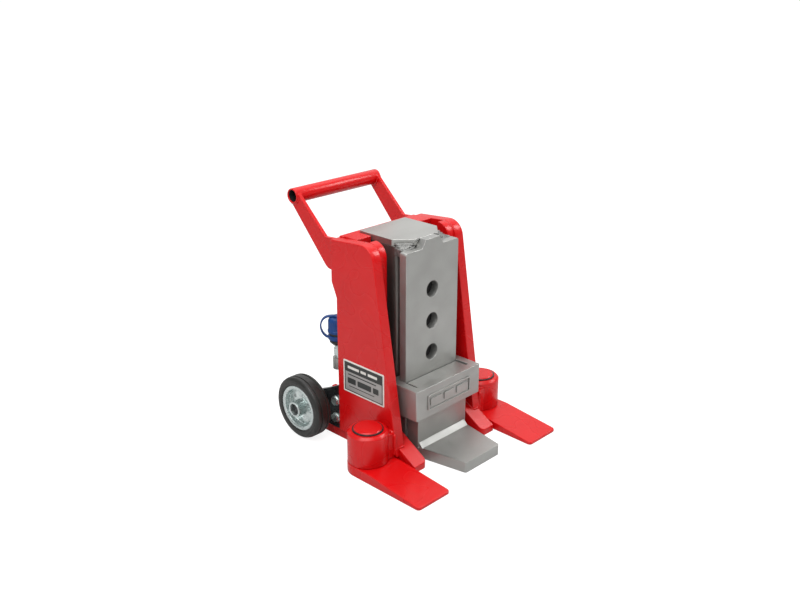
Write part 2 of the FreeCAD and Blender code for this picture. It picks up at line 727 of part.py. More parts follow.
def make_wheels():
    """Rubber tyre on a pressed steel rim that turns on a plain bush."""
    seat_half = "rim_half - rim_sheet"
    hub_face = "wheel_mid + rim_set"
    tyre = [
        ("wheel_mid - tyre_half", "rim_flange"),
        (f"wheel_mid - ({seat_half})", "rim_flange"),
        (f"wheel_mid - ({seat_half})", "rim_seat"),
        (f"wheel_mid + ({seat_half})", "rim_seat"),
        (f"wheel_mid + ({seat_half})", "rim_flange"),
        ("wheel_mid + tyre_half", "rim_flange"),
        ("wheel_mid + tyre_half", "wheel_radius - tyre_shoulder"),
        ("wheel_mid + tyre_half - tyre_crown", "wheel_radius"),
        ("wheel_mid - tyre_half + tyre_crown", "wheel_radius"),
        ("wheel_mid - tyre_half", "wheel_radius - tyre_shoulder"),
    ]
    rim = [
        ("rim_hub_in", "rim_hub_bore"),
        ("rim_hub_out", "rim_hub_bore"),
        ("rim_hub_out", "rim_hub"),
        (hub_face, "rim_hub"),
        (f"{hub_face} - rim_dish", "rim_seat - rim_sheet"),
        ("wheel_mid + rim_half", "rim_seat - rim_sheet"),
        ("wheel_mid + rim_half", "rim_flange"),
        (f"wheel_mid + ({seat_half})", "rim_flange"),
        (f"wheel_mid + ({seat_half})", "rim_seat"),
        (f"wheel_mid - ({seat_half})", "rim_seat"),
        (f"wheel_mid - ({seat_half})", "rim_flange"),
        ("wheel_mid - rim_half", "rim_flange"),
        ("wheel_mid - rim_half", "rim_seat - rim_sheet"),
        (f"{hub_face} - rim_dish - rim_sheet", "rim_seat - rim_sheet"),
        (f"{hub_face} - rim_sheet", "rim_hub"),
        ("rim_hub_in", "rim_hub"),
    ]
    bush = [
        ("bush_in", "axle_radius + axle_gap"),
        ("bush_out", "axle_radius + axle_gap"),
        ("bush_out", "rim_hub_bore"),
        ("bush_in", "rim_hub_bore"),
    ]
    for side, hand in SIDES:
        keep(wheel_turning(f"wheel_tyre_{hand}", side, tyre))
        keep(wheel_turning(f"wheel_rim_{hand}", side, rim))
        keep(wheel_turning(f"wheel_bush_{hand}", side, bush))


def make_axles():
    """Stub axles with their circlips and nuts."""
    axle = [
        ("side_in", "0"),
        ("axle_end", "0"),
        ("axle_end", "axle_radius"),
        ("clip_out", "axle_radius"),
        ("clip_out", "clip_groove"),
        ("clip_in", "clip_groove"),
        ("clip_in", "axle_radius"),
        ("rim_hub_in - collar_play", "axle_radius"),
        ("rim_hub_in - collar_play", "axle_collar"),
        ("bracket_out", "axle_collar"),
        ("bracket_out", "axle_radius"),
        ("side_in", "axle_radius"),
    ]
    clip = [
        ("clip_in", "clip_groove"),
        ("clip_out", "clip_groove"),
        ("clip_out", "axle_collar"),
        ("clip_in", "axle_collar"),
    ]
    clips = []
    nuts = []
    for side, hand in SIDES:
        keep(wheel_turning(f"wheel_axle_{hand}", side, axle))
        clips.append(wheel_turning(f"axle_circlip_{hand}", side, clip))
        start = "side_in" if side == RIGHT else "-bracket_in"
        thick = "bracket_in - side_in"
        nut = hexagon(f"axle_nut_{hand}", "x", (start, "wheel_y", "wheel_z"), "axle_nut", thick)
        hole = rod(f"nut_hole_{hand}", "x", (start, "wheel_y", "wheel_z"), "axle_radius", thick)
        nuts.append(cut(f"drilled_nut_{hand}", nut, hole))
    group("axle_circlips", clips)
    group("axle_nuts", nuts)


def make_wheel_brackets():
    """Welded lugs, the brackets bolted to them and their flanged bolts."""
    lugs = []
    bolts = []
    heights = ("bracket_bolt_low", "bracket_bolt_high")
    for side, hand in SIDES:
        reach = sorted((f"{side} * (side_in + bolt_gap)", f"{side} * bracket_in"), key=size_of)
        slab = block(
            f"lug_slab_{hand}", reach, ("side_rear", "lug_rear"), ("base_thick", "wheel_lug_top")
        )
        starts = [(reach[0], "bracket_bolt_y", height) for height in heights]
        length = "bracket_in - side_in - bolt_gap"
        taps = [
            rod(f"lug_tap_{hand}_{number}", "x", start, "bolt_radius", length)
            for number, start in enumerate(starts)
        ]
        lugs.append(cut(f"wheel_lug_{hand}", slab, fused(f"lug_taps_{hand}", taps)))
        outline = [
            ("side_rear", "base_thick"),
            ("wheel_y - bracket_heel", "base_thick"),
            ("wheel_y + bracket_eye * sin(35)", "wheel_z - bracket_eye * cos(35)"),
            ("wheel_y + bracket_eye * sin(25)", "wheel_z + bracket_eye * cos(25)"),
            ("side_rear + bracket_neck", "bracket_top - bracket_drop"),
            ("side_rear", "bracket_top"),
        ]
        bracket = plate_across(f"wheel_bracket_{hand}", side, "bracket_in", "bracket_out", outline)
        keep(bracket)
        near = "bracket_in" if side == RIGHT else "-bracket_out"
        far = "bracket_out" if side == RIGHT else "-bracket_in"
        axle = ("wheel_y", "wheel_z")
        eye = circle(new_sketch(bracket, "YZ_Plane", ("0", "0", near)), axle, "bracket_eye")
        pad(bracket, eye, "bracket_out - bracket_in")
        doc.recompute()
        holes = circle(new_sketch(bracket, "YZ_Plane", ("0", "0", far)), axle, "axle_radius")
        for height in heights:
            circle(holes, ("bracket_bolt_y", height), "bolt_radius")
        pocket(bracket, holes, "bracket_out - bracket_in")
        for number, height in enumerate(heights):
            bolts.append(flanged_bolt(f"bolt_{hand}_{number}", side, height))
    group("wheel_lugs", lugs)
    group("bracket_bolts", bolts)


def flanged_bolt(name, side, height):
    """A hexagon bolt with a flange, driven inwards from a bracket's outer face."""
    grip = "bracket_out - side_in - bolt_gap"
    skirt = "bolt_flats / 2 + bolt_skirt"

    def start(inner, length):
        x = inner if side == RIGHT else f"-({inner}) - ({length})"
        return (x, "bracket_bolt_y", height)

    pieces = [
        rod(f"{name}_shank", "x", start("side_in + bolt_gap", grip), "bolt_radius", grip),
        rod(f"{name}_flange", "x", start("bracket_out", "bolt_flange"), skirt, "bolt_flange"),
        hexagon(f"{name}_head", "x", start("bracket_out", "bolt_head"), "bolt_flats", "bolt_head"),
    ]
    return fused(name, pieces)


# Carriage

def make_carriage():
    """The bored carriage body, its head plate, rail plate, web, stops and guide bars."""
    body = keep(new_body("carriage_body"))
    outer = across("box_half", "box_front", "box_rear")
    pad(body, polygon(new_sketch(body, "XY_Plane", ("0", "0", "box_low")), outer), "box_top - box_low")
    doc.recompute()
    fronts = [(f"{side} * box_half", "box_front") for side, _ in SIDES]
    dress(body, "Fillet", "box_corner", along(2, *fronts))
    bore = circle(new_sketch(body, "XY_Plane", ("0", "0", "box_top")), ("0", "0"), "box_bore")
    pocket(body, bore, "box_top - box_low")

    nose = "box_half - (cap_bend - rail_back)"
    head = [
        ("-box_half", "box_rear"),
        ("-box_half", "cap_bend"),
        (f"-({nose})", "rail_back"),
        (nose, "rail_back"),
        ("box_half", "cap_bend"),
        ("box_half", "box_rear"),
    ]
    keep(plate_level("head_plate", head, "box_top", "cap_top"))

    rail = keep(new_body("rail_plate"))
    face = [
        ("-rail_half", "box_low"),
        ("rail_half", "box_low"),
        ("rail_half", "rail_shoulder"),
        ("tab_base", "rail_shoulder"),
        ("tab_head", "cap_top"),
        ("-tab_head", "cap_top"),
        ("-tab_base", "rail_shoulder"),
        ("-rail_half", "rail_shoulder"),
    ]
    plane = new_sketch(rail, "XZ_Plane", ("0", "0", "-rail_back"))
    pad(rail, polygon(plane, face), "rail_back - rail_front")
    doc.recompute()
    shoulders = [(f"{side} * rail_half", "rail_shoulder") for side, _ in SIDES]
    dress(rail, "Fillet", "rail_corner", along(1, *shoulders))
    holes = new_sketch(rail, "XZ_Plane", ("0", "0", "-rail_back"))
    for number in range(HOLE_COUNT):
        circle(holes, ("0", f"hole_first + {number} * hole_pitch"), "hole_radius")
    pocket(rail, holes, "rail_back - rail_front", along_normal=True)

    web = block("rail_web", ("-web_half", "web_half"), ("rail_back", "box_front"), ("box_low", "box_top"))
    keep(web)

    stops = []
    for side, hand in SIDES:
        wedge = new_body(f"rail_stop_{hand}")
        plan = [
            (f"{side} * (box_half + stop_reach)", "rail_back"),
            (f"{side} * (collar_gap + stop_gap)", "rail_back"),
            (f"{side} * (collar_gap + stop_gap)", "box_front - stop_gap"),
            (f"{side} * (box_half - box_corner / 2)", "box_front - stop_gap / 2"),
            (f"{side} * (box_half + stop_gap / 2)", "box_front + box_corner / 2"),
        ]
        sketch = polygon(new_sketch(wedge, "XY_Plane", ("0", "0", "stop_low")), plan)
        pad(wedge, sketch, "box_top - stop_gap - stop_low")
        stops.append(wedge)
    group("rail_stops", stops)

    for side, hand in SIDES:
        reach = sorted((f"{side} * box_half", f"{side} * guide_out"), key=size_of)
        bar = block(
            f"guide_bar_{hand}",
            reach,
            ("groove_front + guide_gap", "groove_rear - guide_gap"),
            ("guide_low", "guide_high"),
        )
        keep(bar)


# Toe

def make_toe():
    """The load toe, the collar that holds it to the rail, and the pin that locks its height."""
    toe = keep(new_body("toe_plate"))
    leg = across("toe_half", "toe_face", "toe_back")
    pad(toe, polygon(new_sketch(toe, "XY_Plane", ("0", "0", "toe_low")), leg), "leg_top - toe_low")
    doc.recompute()
    plan = [
        ("-toe_pad_half", "toe_face"),
        ("-toe_tip_half", "toe_tip"),
        ("toe_tip_half", "toe_tip"),
        ("toe_pad_half", "toe_face"),
    ]
    pad(toe, polygon(new_sketch(toe, "XY_Plane", ("0", "0", "toe_low")), plan), "toe_pad - toe_low")
    doc.recompute()
    tips = [(f"{side} * toe_tip_half", "toe_tip") for side, _ in SIDES]
    dress(toe, "Fillet", "toe_corner", along(2, *tips))
    bevel = [
        ("toe_face", "toe_pad"),
        ("toe_face - toe_bevel", "toe_pad"),
        ("toe_face", "toe_pad + toe_bevel"),
    ]
    reach = "toe_pad_half - toe_bevel_in"
    ramp = polygon(new_sketch(toe, "YZ_Plane", ("0", "0", f"-({reach})")), bevel)
    pad(toe, ramp, f"2 * ({reach})")
    doc.recompute()
    hole = circle(
        new_sketch(toe, "XZ_Plane", ("0", "0", "-toe_back")), ("0", "hole_first"), "lock_radius + lock_gap"
    )
    pocket(toe, hole, "toe_back - toe_face", along_normal=True)

    ring = across("collar_half", "collar_front", "collar_rear")
    collar = keep(plate_level("toe_collar", ring, "collar_low", "collar_top"))
    cavity = [
        ("-collar_leg", "toe_face"),
        ("collar_leg", "toe_face"),
        ("collar_leg", "toe_back"),
        ("collar_rail", "toe_back"),
        ("collar_rail", "collar_lip"),
        ("collar_gap", "collar_lip"),
        ("collar_gap", "collar_rear + 1"),
        ("-collar_gap", "collar_rear + 1"),
        ("-collar_gap", "collar_lip"),
        ("-collar_rail", "collar_lip"),
        ("-collar_rail", "toe_back"),
        ("-collar_leg", "toe_back"),
    ]
    opening = polygon(new_sketch(collar, "XY_Plane", ("0", "0", "collar_top")), cavity)
    pocket(collar, opening, "collar_top - collar_low")
    plane = new_sketch(collar, "XZ_Plane", ("0", "0", "-toe_face"))
    socket = circle(plane, ("0", "hole_first"), "lock_radius + lock_gap")
    pocket(collar, socket, "toe_face - lock_pocket", along_normal=True)
    corners = [(f"{side} * collar_half", y) for side, _ in SIDES for y in ("collar_front", "collar_rear")]
    dress(collar, "Fillet", "collar_round", along(2, *corners))

    start = ("0", "lock_tail", "hole_first")
    pin = rod("lock_pin_bar", "y", start, "lock_radius", "lock_tip - lock_tail")
    tip = doc.addObject("Part::Chamfer", "lock_pin")
    tip.Base = pin
    doc.recompute()
    bevel = size_of("lock_chamfer")
    tip.Edges = [
        (number, bevel, bevel)
        for number, edge in enumerate(pin.Shape.Edges, start=1)
        if edge.Closed and abs(edge.CenterOfMass.y - size_of("lock_tip")) < 0.1
    ]
    keep(tip)


# Hydraulic cylinder

def make_cylinder():
    """Everything inside the carriage body: foot, barrel, gland, seals, rod, piston and spring."""
    foot = [
        ("oil_radius", "base_thick"),
        ("barrel_radius", "base_thick"),
        ("barrel_radius", "barrel_low"),
        ("oil_radius", "barrel_low"),
    ]
    keep(upright_turning("cylinder_foot", foot))
    barrel = [
        ("bore_radius", "barrel_low"),
        ("barrel_radius", "barrel_low"),
        ("barrel_radius", "barrel_top"),
        ("bore_radius", "barrel_top"),
    ]
    keep(upright_turning("cylinder_barrel", barrel))
    gland = [
        ("rod_radius + fit_gap", "gland_low"),
        ("bore_radius", "gland_low"),
        ("bore_radius", "barrel_top"),
        ("barrel_radius", "barrel_top"),
        ("barrel_radius", "gland_top"),
        ("rod_radius + fit_gap", "gland_top"),
        ("rod_radius + fit_gap", "seal_high"),
        ("seal_radius", "seal_high"),
        ("seal_radius", "seal_low"),
        ("rod_radius + fit_gap", "seal_low"),
    ]
    keep(upright_turning("gland_nut", gland))
    rod_seal = [
        ("rod_radius + fit_gap / 2", "seal_low"),
        ("seal_radius", "seal_low"),
        ("seal_radius", "seal_high"),
        ("rod_radius + fit_gap / 2", "seal_high"),
    ]
    keep(upright_turning("rod_seal", rod_seal))
    piston_rod = [
        ("0", "piston_low"),
        ("spigot_radius", "piston_low"),
        ("spigot_radius", "piston_top"),
        ("rod_radius", "piston_top"),
        ("rod_radius", "box_top"),
        ("0", "box_top"),
    ]
    keep(upright_turning("piston_rod", piston_rod))
    piston = [
        ("spigot_radius", "piston_low"),
        ("bore_radius - fit_gap", "piston_low"),
        ("bore_radius - fit_gap", "ring_seal_low"),
        ("ring_seal_root", "ring_seal_low"),
        ("ring_seal_root", "ring_seal_high"),
        ("bore_radius - fit_gap", "ring_seal_high"),
        ("bore_radius - fit_gap", "piston_top"),
        ("spigot_radius", "piston_top"),
    ]
    keep(upright_turning("piston", piston))
    piston_seal = [
        ("ring_seal_root", "ring_seal_low"),
        ("bore_radius - fit_gap / 2", "ring_seal_low"),
        ("bore_radius - fit_gap / 2", "ring_seal_high"),
        ("ring_seal_root", "ring_seal_high"),
    ]
    keep(upright_turning("piston_seal", piston_seal))
    make_return_spring()


def make_return_spring():
    """A compression spring between the piston and the gland, as one swept coil."""
    low = "piston_top + spring_wire"
    high = "gland_low - spring_wire"
    rise = f"({high}) - ({low})"
    coil = doc.addObject("Part::Helix", "spring_line")
    bind(coil, Radius="spring_radius", Height=rise, Pitch=f"({rise}) / spring_turns")
    bind(coil, Placement__Base__z=low)
    wire = doc.addObject("Part::Circle", "spring_section")
    wire.Placement = FreeCAD.Placement(FreeCAD.Vector(), FreeCAD.Rotation(FreeCAD.Vector(1, 0, 0), 90))
    bind(wire, Radius="spring_wire", Placement__Base__x="spring_radius", Placement__Base__z=low)
    spring = doc.addObject("Part::Sweep", "return_spring")
    spring.Sections = [wire]
    spring.Spine = (coil, ["Edge1"])
    spring.Solid = True
    spring.Frenet = True
    keep(spring)


# Pump coupling

def make_coupling():
    """Elbow, adapter, coupler, dust cap and strap on one upright axis, and the pipe to the base."""
    centre = ("port_x", "port_y")
    elbow_mid = "(elbow_low + elbow_high) / 2"
    body = rod("elbow_body", "z", (*centre, "elbow_low"), "elbow_radius", "elbow_high - elbow_low")
    boss = rod("elbow_boss", "x", (*centre, elbow_mid), "pipe_nut / 2 + 1.5", "elbow_reach")
    seat = rod("elbow_seat", "y", ("port_x", "back_rear", elbow_mid), "elbow_seat", "port_y - back_rear")
    keep(fused("port_elbow", [body, boss, seat]))

    stem = rod("adapter_stem", "z", (*centre, "elbow_high"), "adapter_radius", "adapter_top - elbow_high")
    foot = (*centre, "elbow_high + adapter_hex")
    collar = hexagon("adapter_hexagon", "z", foot, "adapter_flats", "adapter_hex_long")
    keep(fused("coupler_adapter", [stem, collar]))

    coupler = [
        ("0", "adapter_top"),
        ("coupler_radius - coupler_taper", "adapter_top"),
        ("coupler_radius", "adapter_top + coupler_taper"),
        ("coupler_radius", "cap_low"),
        ("nose_radius", "cap_low"),
        ("nose_radius", "cap_high - 6"),
        ("nose_radius - 2", "cap_high - 4"),
        ("0", "cap_high - 4"),
    ]
    keep(upright_turning("coupler_body", coupler, centre))
    cap = [
        ("nose_radius + 0.3", "cap_low"),
        ("cap_radius", "cap_low"),
        ("cap_radius", "cap_high - 3"),
        ("cap_radius - 3", "cap_high"),
        ("0", "cap_high"),
        ("0", "cap_high - 3.5"),
        ("nose_radius + 0.3", "cap_high - 3.5"),
    ]
    keep(upright_turning("dust_cap", cap, centre))
    make_strap(centre)

    pipe = doc.addObject("Part::Feature", "oil_pipe")
    pipe.Shape = pipe_shape(elbow_mid)
    keep(pipe)
    first = ("port_x + elbow_reach", "port_y", elbow_mid)
    last = ("0", "port_y", "base_thick")
    nuts = []
    for name, axis, start in (("elbow", "x", first), ("base", "z", last)):
        nut = hexagon(f"pipe_nut_{name}", axis, start, "pipe_nut", "pipe_nut_long")
        hole = rod(f"pipe_nut_hole_{name}", axis, start, "pipe_radius", "pipe_nut_long")
        nuts.append(cut(f"pipe_nut_ring_{name}", nut, hole))
    group("pipe_nuts", nuts)


def pipe_shape(level):
    """The oil pipe: level from the elbow, one bend, then straight down to the base plate."""
    bend = size_of("pipe_bend")
    half_turn = bend * 0.5 ** 0.5
    start = FreeCAD.Vector(size_of("port_x + elbow_reach"), size_of("port_y"), size_of(level))
    turn_in = start + FreeCAD.Vector(size_of("-port_x - elbow_reach - pipe_bend"), 0, 0)
    turn_mid = turn_in + FreeCAD.Vector(half_turn, 0, half_turn - bend)
    turn_out = turn_in + FreeCAD.Vector(bend, 0, -bend)
    end = turn_out - FreeCAD.Vector(0, 0, size_of(f"({level}) - base_thick - pipe_bend"))
    spine = Part.Wire(
        [
            Part.LineSegment(start, turn_in).toShape(),
            Part.Arc(turn_in, turn_mid, turn_out).toShape(),
            Part.LineSegment(turn_out, end).toShape(),
        ]
    )
    walls = []
    for radius in (size_of("pipe_radius"), size_of("pipe_radius - 1.5")):
        section = Part.Wire(Part.Circle(start, FreeCAD.Vector(1, 0, 0), radius).toShape())
        walls.append(spine.makePipeShell([section], True, False))
    return walls[0].cut(walls[1])


def make_strap(centre):
    """A flexible strap from a ring round the coupler's neck over to the top of the dust cap."""
    ring = [
        ("coupler_radius", "neck_low"),
        ("coupler_radius + strap_thick", "neck_low"),
        ("coupler_radius + strap_thick", "neck_high"),
        ("coupler_radius", "neck_high"),
    ]
    neck = upright_turning("strap_neck", ring, centre)

    # The band lies in a vertical plane that stands away from the column, to the rear left.
    outline = [
        ("coupler_radius + 1", "neck_low"),
        ("strap_reach", "cap_high - strap_low"),
        ("strap_reach", "cap_high - strap_high"),
        ("strap_reach - strap_shoulder", "cap_high + strap_thick"),
        ("0", "cap_high + strap_thick"),
        ("0", "cap_high"),
        ("strap_reach - strap_shoulder - 0.5", "cap_high"),
        ("strap_reach - strap_thick", "cap_high - strap_high - 1"),
        ("strap_reach - strap_thick", "cap_high - strap_low + 1"),
        ("coupler_radius + 1", "neck_high - 2"),
    ]
    near_side = -size_of("strap_half")
    points = [FreeCAD.Vector(size_of(radius), near_side, size_of(height)) for radius, height in outline]
    face = Part.Face(Part.makePolygon(points + points[:1]))
    band = doc.addObject("Part::Feature", "strap_band")
    band.Shape = face.extrude(FreeCAD.Vector(0, 2 * size_of("strap_half"), 0))
    axis = FreeCAD.Vector(size_of("port_x"), size_of("port_y"), 0)
    band.Placement = FreeCAD.Placement(axis, FreeCAD.Rotation(FreeCAD.Vector(0, 0, 1), 135))
    keep(fused("cap_strap", [neck, band]))


def check_and_export():
    """Stop on any failed object, then write one STEP file for each node."""
    doc.recompute()
    for thing in doc.Objects:
        if "Invalid" in thing.State or "Error" in thing.State:
            raise RuntimeError(f"{thing.Label} failed to recompute: {thing.State}")
    for node in nodes:
        if node.Shape.isNull() or not node.Shape.isValid() or node.Shape.Volume <= 0:
            raise RuntimeError(f"{node.Label} has no valid solid")
    os.makedirs("parts", exist_ok=True)
    for node in nodes:
        node.Shape.exportStep(f"parts/{node.Label}.step")
    print(len(nodes), "nodes")


make_base()
make_columns()
make_handle()
make_label()
make_foot_hubs()
make_feet()
make_wheels()
make_axles()
make_wheel_brackets()
make_carriage()
make_toe()
make_cylinder()
make_coupling()
check_and_export()
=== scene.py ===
"""Looks of a hydraulic toe jack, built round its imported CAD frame.

Lengths are in metres, and in millimetres where MM turns them into metres. The axes are the frame's:
+X to the right, +Y towards the wheels and +Z up. The label and the pump coupling are on the left
side only, and the rest is alike on both sides.
"""

import json
import math
import random

import bmesh
import bpy
from mathutils import Matrix, Vector


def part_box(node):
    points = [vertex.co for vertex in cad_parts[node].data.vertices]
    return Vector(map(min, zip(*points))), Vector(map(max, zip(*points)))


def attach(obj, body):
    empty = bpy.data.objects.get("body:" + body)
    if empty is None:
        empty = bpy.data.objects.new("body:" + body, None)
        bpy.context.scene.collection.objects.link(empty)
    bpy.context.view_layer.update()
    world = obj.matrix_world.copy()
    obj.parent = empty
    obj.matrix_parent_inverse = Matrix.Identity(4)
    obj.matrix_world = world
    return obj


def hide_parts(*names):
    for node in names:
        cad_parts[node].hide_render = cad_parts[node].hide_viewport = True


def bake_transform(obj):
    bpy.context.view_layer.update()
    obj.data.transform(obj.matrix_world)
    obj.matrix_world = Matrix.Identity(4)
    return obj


MM = 0.001
SIDES = ((-1, "left"), (1, "right"))
UP = Vector((0, 0, 1))

# The camera: its place, its angles in degrees, and its lens and sensor in millimetres
CAMERA_PLACE = (-1.0136, -0.9822, 0.7667)
CAMERA_DOWN = 21.05
CAMERA_TURN = -45.87
FOCAL_LENGTH = 43.17
SENSOR_WIDTH = 36

# The point that the softboxes are aimed at
LIT_POINT = Vector((0, 0, 0.18))

# Brightness of the surround at the horizon and overhead, and the height where it is fully bright
HORIZON = 0.20
ZENITH = 0.60
ZENITH_HEIGHT = 0.8

# A brighter patch of the surround behind the jack: its brightness and direction, and how closely
# a direction has to point at it to reach its rim and its core
BACKDROP = 0.50
BACKDROP_SIDE = (0.67, 0.65, 0.36)
BACKDROP_RIM = 0.55
BACKDROP_CORE = 0.95

# The floor: half its width, its tone to the lights and to the camera, and a glow for the camera
FLOOR_HALF = 30
FLOOR_LIT = 0.60
FLOOR_SEEN = 0.30
FLOOR_GLOW = 0.85

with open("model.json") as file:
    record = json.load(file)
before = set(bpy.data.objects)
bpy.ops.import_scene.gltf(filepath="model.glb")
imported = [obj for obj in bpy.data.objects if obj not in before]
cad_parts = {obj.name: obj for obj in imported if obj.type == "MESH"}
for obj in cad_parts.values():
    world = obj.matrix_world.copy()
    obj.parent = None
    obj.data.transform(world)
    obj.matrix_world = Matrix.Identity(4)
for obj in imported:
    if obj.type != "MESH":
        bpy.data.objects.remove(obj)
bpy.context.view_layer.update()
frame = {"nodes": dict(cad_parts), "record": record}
nodes = frame["nodes"]
node_slots = {part["node"]: part["material_slot"] for part in frame["record"]["subparts"]}


# Shader helpers


def new_material(name):
    made = bpy.data.materials.new(name)
    made.use_nodes = True
    return made, made.node_tree, made.node_tree.nodes["Principled BSDF"]


def add(tree, kind, inputs=None, **settings):
    """A shader node with its settings, and inputs given as numbers or linked sockets."""
    made = tree.nodes.new(f"ShaderNode{kind}")
    for key, value in settings.items():
        setattr(made, key, value)
    for key, value in (inputs or {}).items():
        if isinstance(value, bpy.types.NodeSocket):
            tree.links.new(value, made.inputs[key])
        else:
            made.inputs[key].default_value = value
    return made


def noise(tree, size, detail=2.0, stretch=(1, 1, 1)):
    """Noise between 0 and 1 with patches of about one size, longer where stretch is above 1."""
    place = add(tree, "TexCoord").outputs["Object"]
    scale = tuple(1 / factor for factor in stretch)
    moved = add(tree, "Mapping", {"Vector": place, "Scale": scale}).outputs["Vector"]
    grain = add(tree, "TexNoise", {"Vector": moved, "Scale": 1 / size, "Detail": detail})
    return grain.outputs["Fac"]


def spread(tree, factor, low, high, dark, light):
    """A smooth step of the factor from one colour or grey to another."""
    step = add(tree, "ValToRGB", {"Fac": factor})
    first, last = step.color_ramp.elements
    first.position, last.position = low, high
    first.color = (*dark, 1) if isinstance(dark, tuple) else (dark, dark, dark, 1)
    last.color = (*light, 1) if isinstance(light, tuple) else (light, light, light, 1)
    return step.outputs["Color"]


def relief(tree, height, depth):
    """A bump whose full height is the depth given."""
    bump = add(tree, "Bump", {"Height": height, "Distance": depth, "Strength": 1.0})
    return bump.outputs["Normal"]


# Camera, lights and floor


def make_camera():
    """A camera above the front left corner, looking down at the jack."""
    lens = bpy.data.cameras.new("camera")
    lens.lens = FOCAL_LENGTH
    lens.sensor_width = SENSOR_WIDTH
    camera = bpy.data.objects.new("camera", lens)
    camera.location = CAMERA_PLACE
    camera.rotation_euler = (math.radians(90 - CAMERA_DOWN), 0, math.radians(CAMERA_TURN))
    bpy.context.scene.collection.objects.link(camera)
    bpy.context.scene.camera = camera


def softbox(name, azimuth, elevation, distance, size, power):
    """An area light aimed at the middle of the jack; azimuth 0 is in front and 90 to the right."""
    turn, rise = math.radians(azimuth), math.radians(elevation)
    flat = math.cos(rise)
    towards = Vector((math.sin(turn) * flat, -math.cos(turn) * flat, math.sin(rise)))
    panel = bpy.data.lights.new(name, "AREA")
    panel.shape = "RECTANGLE"
    panel.size, panel.size_y = size
    panel.energy = power
    lamp = bpy.data.objects.new(name, panel)
    lamp.location = LIT_POINT + towards * distance
    lamp.rotation_euler = (-towards).to_track_quat("-Z", "Y").to_euler()
    bpy.context.scene.collection.objects.link(lamp)


def light_surround():
    """A surround that is brighter overhead and behind the jack, and plain white to the camera."""
    world = bpy.data.worlds.new("studio")
    world.use_nodes = True
    tree = world.node_tree
    direction = add(tree, "TexCoord").outputs["Generated"]
    height = add(tree, "SeparateXYZ", {"Vector": direction}).outputs["Z"]
    upwards = spread(tree, height, 0.0, ZENITH_HEIGHT, HORIZON, ZENITH)
    aim = add(tree, "VectorMath", {0: direction, 1: BACKDROP_SIDE}, operation="DOT_PRODUCT")
    behind = aim.outputs["Value"]
    backdrop = spread(tree, behind, BACKDROP_RIM, BACKDROP_CORE, 0.0, BACKDROP)
    both = add(tree, "VectorMath", {0: upwards, 1: backdrop}, operation="ADD").outputs["Vector"]
    lit = tree.nodes["Background"]
    tree.links.new(both, lit.inputs["Color"])
    plain = add(tree, "Background", {"Color": (1, 1, 1, 1)})
    seen = add(tree, "LightPath").outputs["Is Camera Ray"]
    either = add(tree, "MixShader", {0: seen, 1: lit.outputs[0], 2: plain.outputs[0]})
    tree.links.new(either.outputs[0], tree.nodes["World Output"].inputs["Surface"])
    bpy.context.scene.world = world


def make_floor():
    """A floor that looks white to the camera, and is a softer white to the lights."""
    mesh = bpy.data.meshes.new("floor")
    signs = ((-1, -1), (1, -1), (1, 1), (-1, 1))
    corners = [(x * FLOOR_HALF, y * FLOOR_HALF, 0) for x, y in signs]
    mesh.from_pydata(corners, [], [(0, 1, 2, 3)])
    floor = bpy.data.objects.new("floor", mesh)
    bpy.context.scene.collection.objects.link(floor)
    paper, tree, shader = new_material("paper_floor")
    seen = add(tree, "LightPath").outputs["Is Camera Ray"]
    tree.links.new(spread(tree, seen, 0.0, 1.0, FLOOR_LIT, FLOOR_SEEN), shader.inputs["Base Color"])
    glow = spread(tree, seen, 0.0, 1.0, 0.0, FLOOR_GLOW)
    tree.links.new(glow, shader.inputs["Emission Strength"])
    shader.inputs["Emission Color"].default_value = (1, 1, 1, 1)
    shader.inputs["Roughness"].default_value = 1.0
    shader.inputs["Specular IOR Level"].default_value = 0.0
    mesh.materials.append(paper)


def make_studio():
    """The surround, the floor and three softboxes."""
    light_surround()
    bpy.context.scene.view_settings.view_transform = "Standard"
    make_floor()
    softbox("key", azimuth=-62, elevation=52, distance=1.8, size=(1.5, 1.5), power=27)
    softbox("front_fill", azimuth=58, elevation=38, distance=1.8, size=(0.8, 0.5), power=11)
    softbox("overhead", azimuth=150, elevation=78, distance=2.2, size=(2.6, 2.6), power=24)


# Materials


# Parts of the noise's range over which a finish goes from one tone or roughness to the other
TONE_RANGE = (0.3, 0.7)
ROUGHNESS_RANGE = (0.25, 0.75)


def surface(
    name, tones, roughness, patch, metallic=0.0, streak=(1, 1, 1), waves=None, specular=0.5
):
    """A finish with two tones in soft patches and a roughness that varies a little.

    patch is the size of the patches of tone, and the patches of roughness are a third of it.
    streak draws the patches out along x, y and z. waves are the length and the height of a
    relief. Lengths are in metres.
    """
    made, tree, shader = new_material(name)
    link = tree.links.new
    patches = noise(tree, patch, detail=3.0, stretch=streak)
    link(spread(tree, patches, *TONE_RANGE, *tones), shader.inputs["Base Color"])
    blotches = noise(tree, patch / 3, detail=0.0, stretch=streak)
    link(spread(tree, blotches, *ROUGHNESS_RANGE, *roughness), shader.inputs["Roughness"])
    if waves is not None:
        length, height = waves
        link(relief(tree, noise(tree, length, detail=0.0), height), shader.inputs["Normal"])
    shader.inputs["Metallic"].default_value = metallic
    shader.inputs["Specular IOR Level"].default_value = specular
    return made


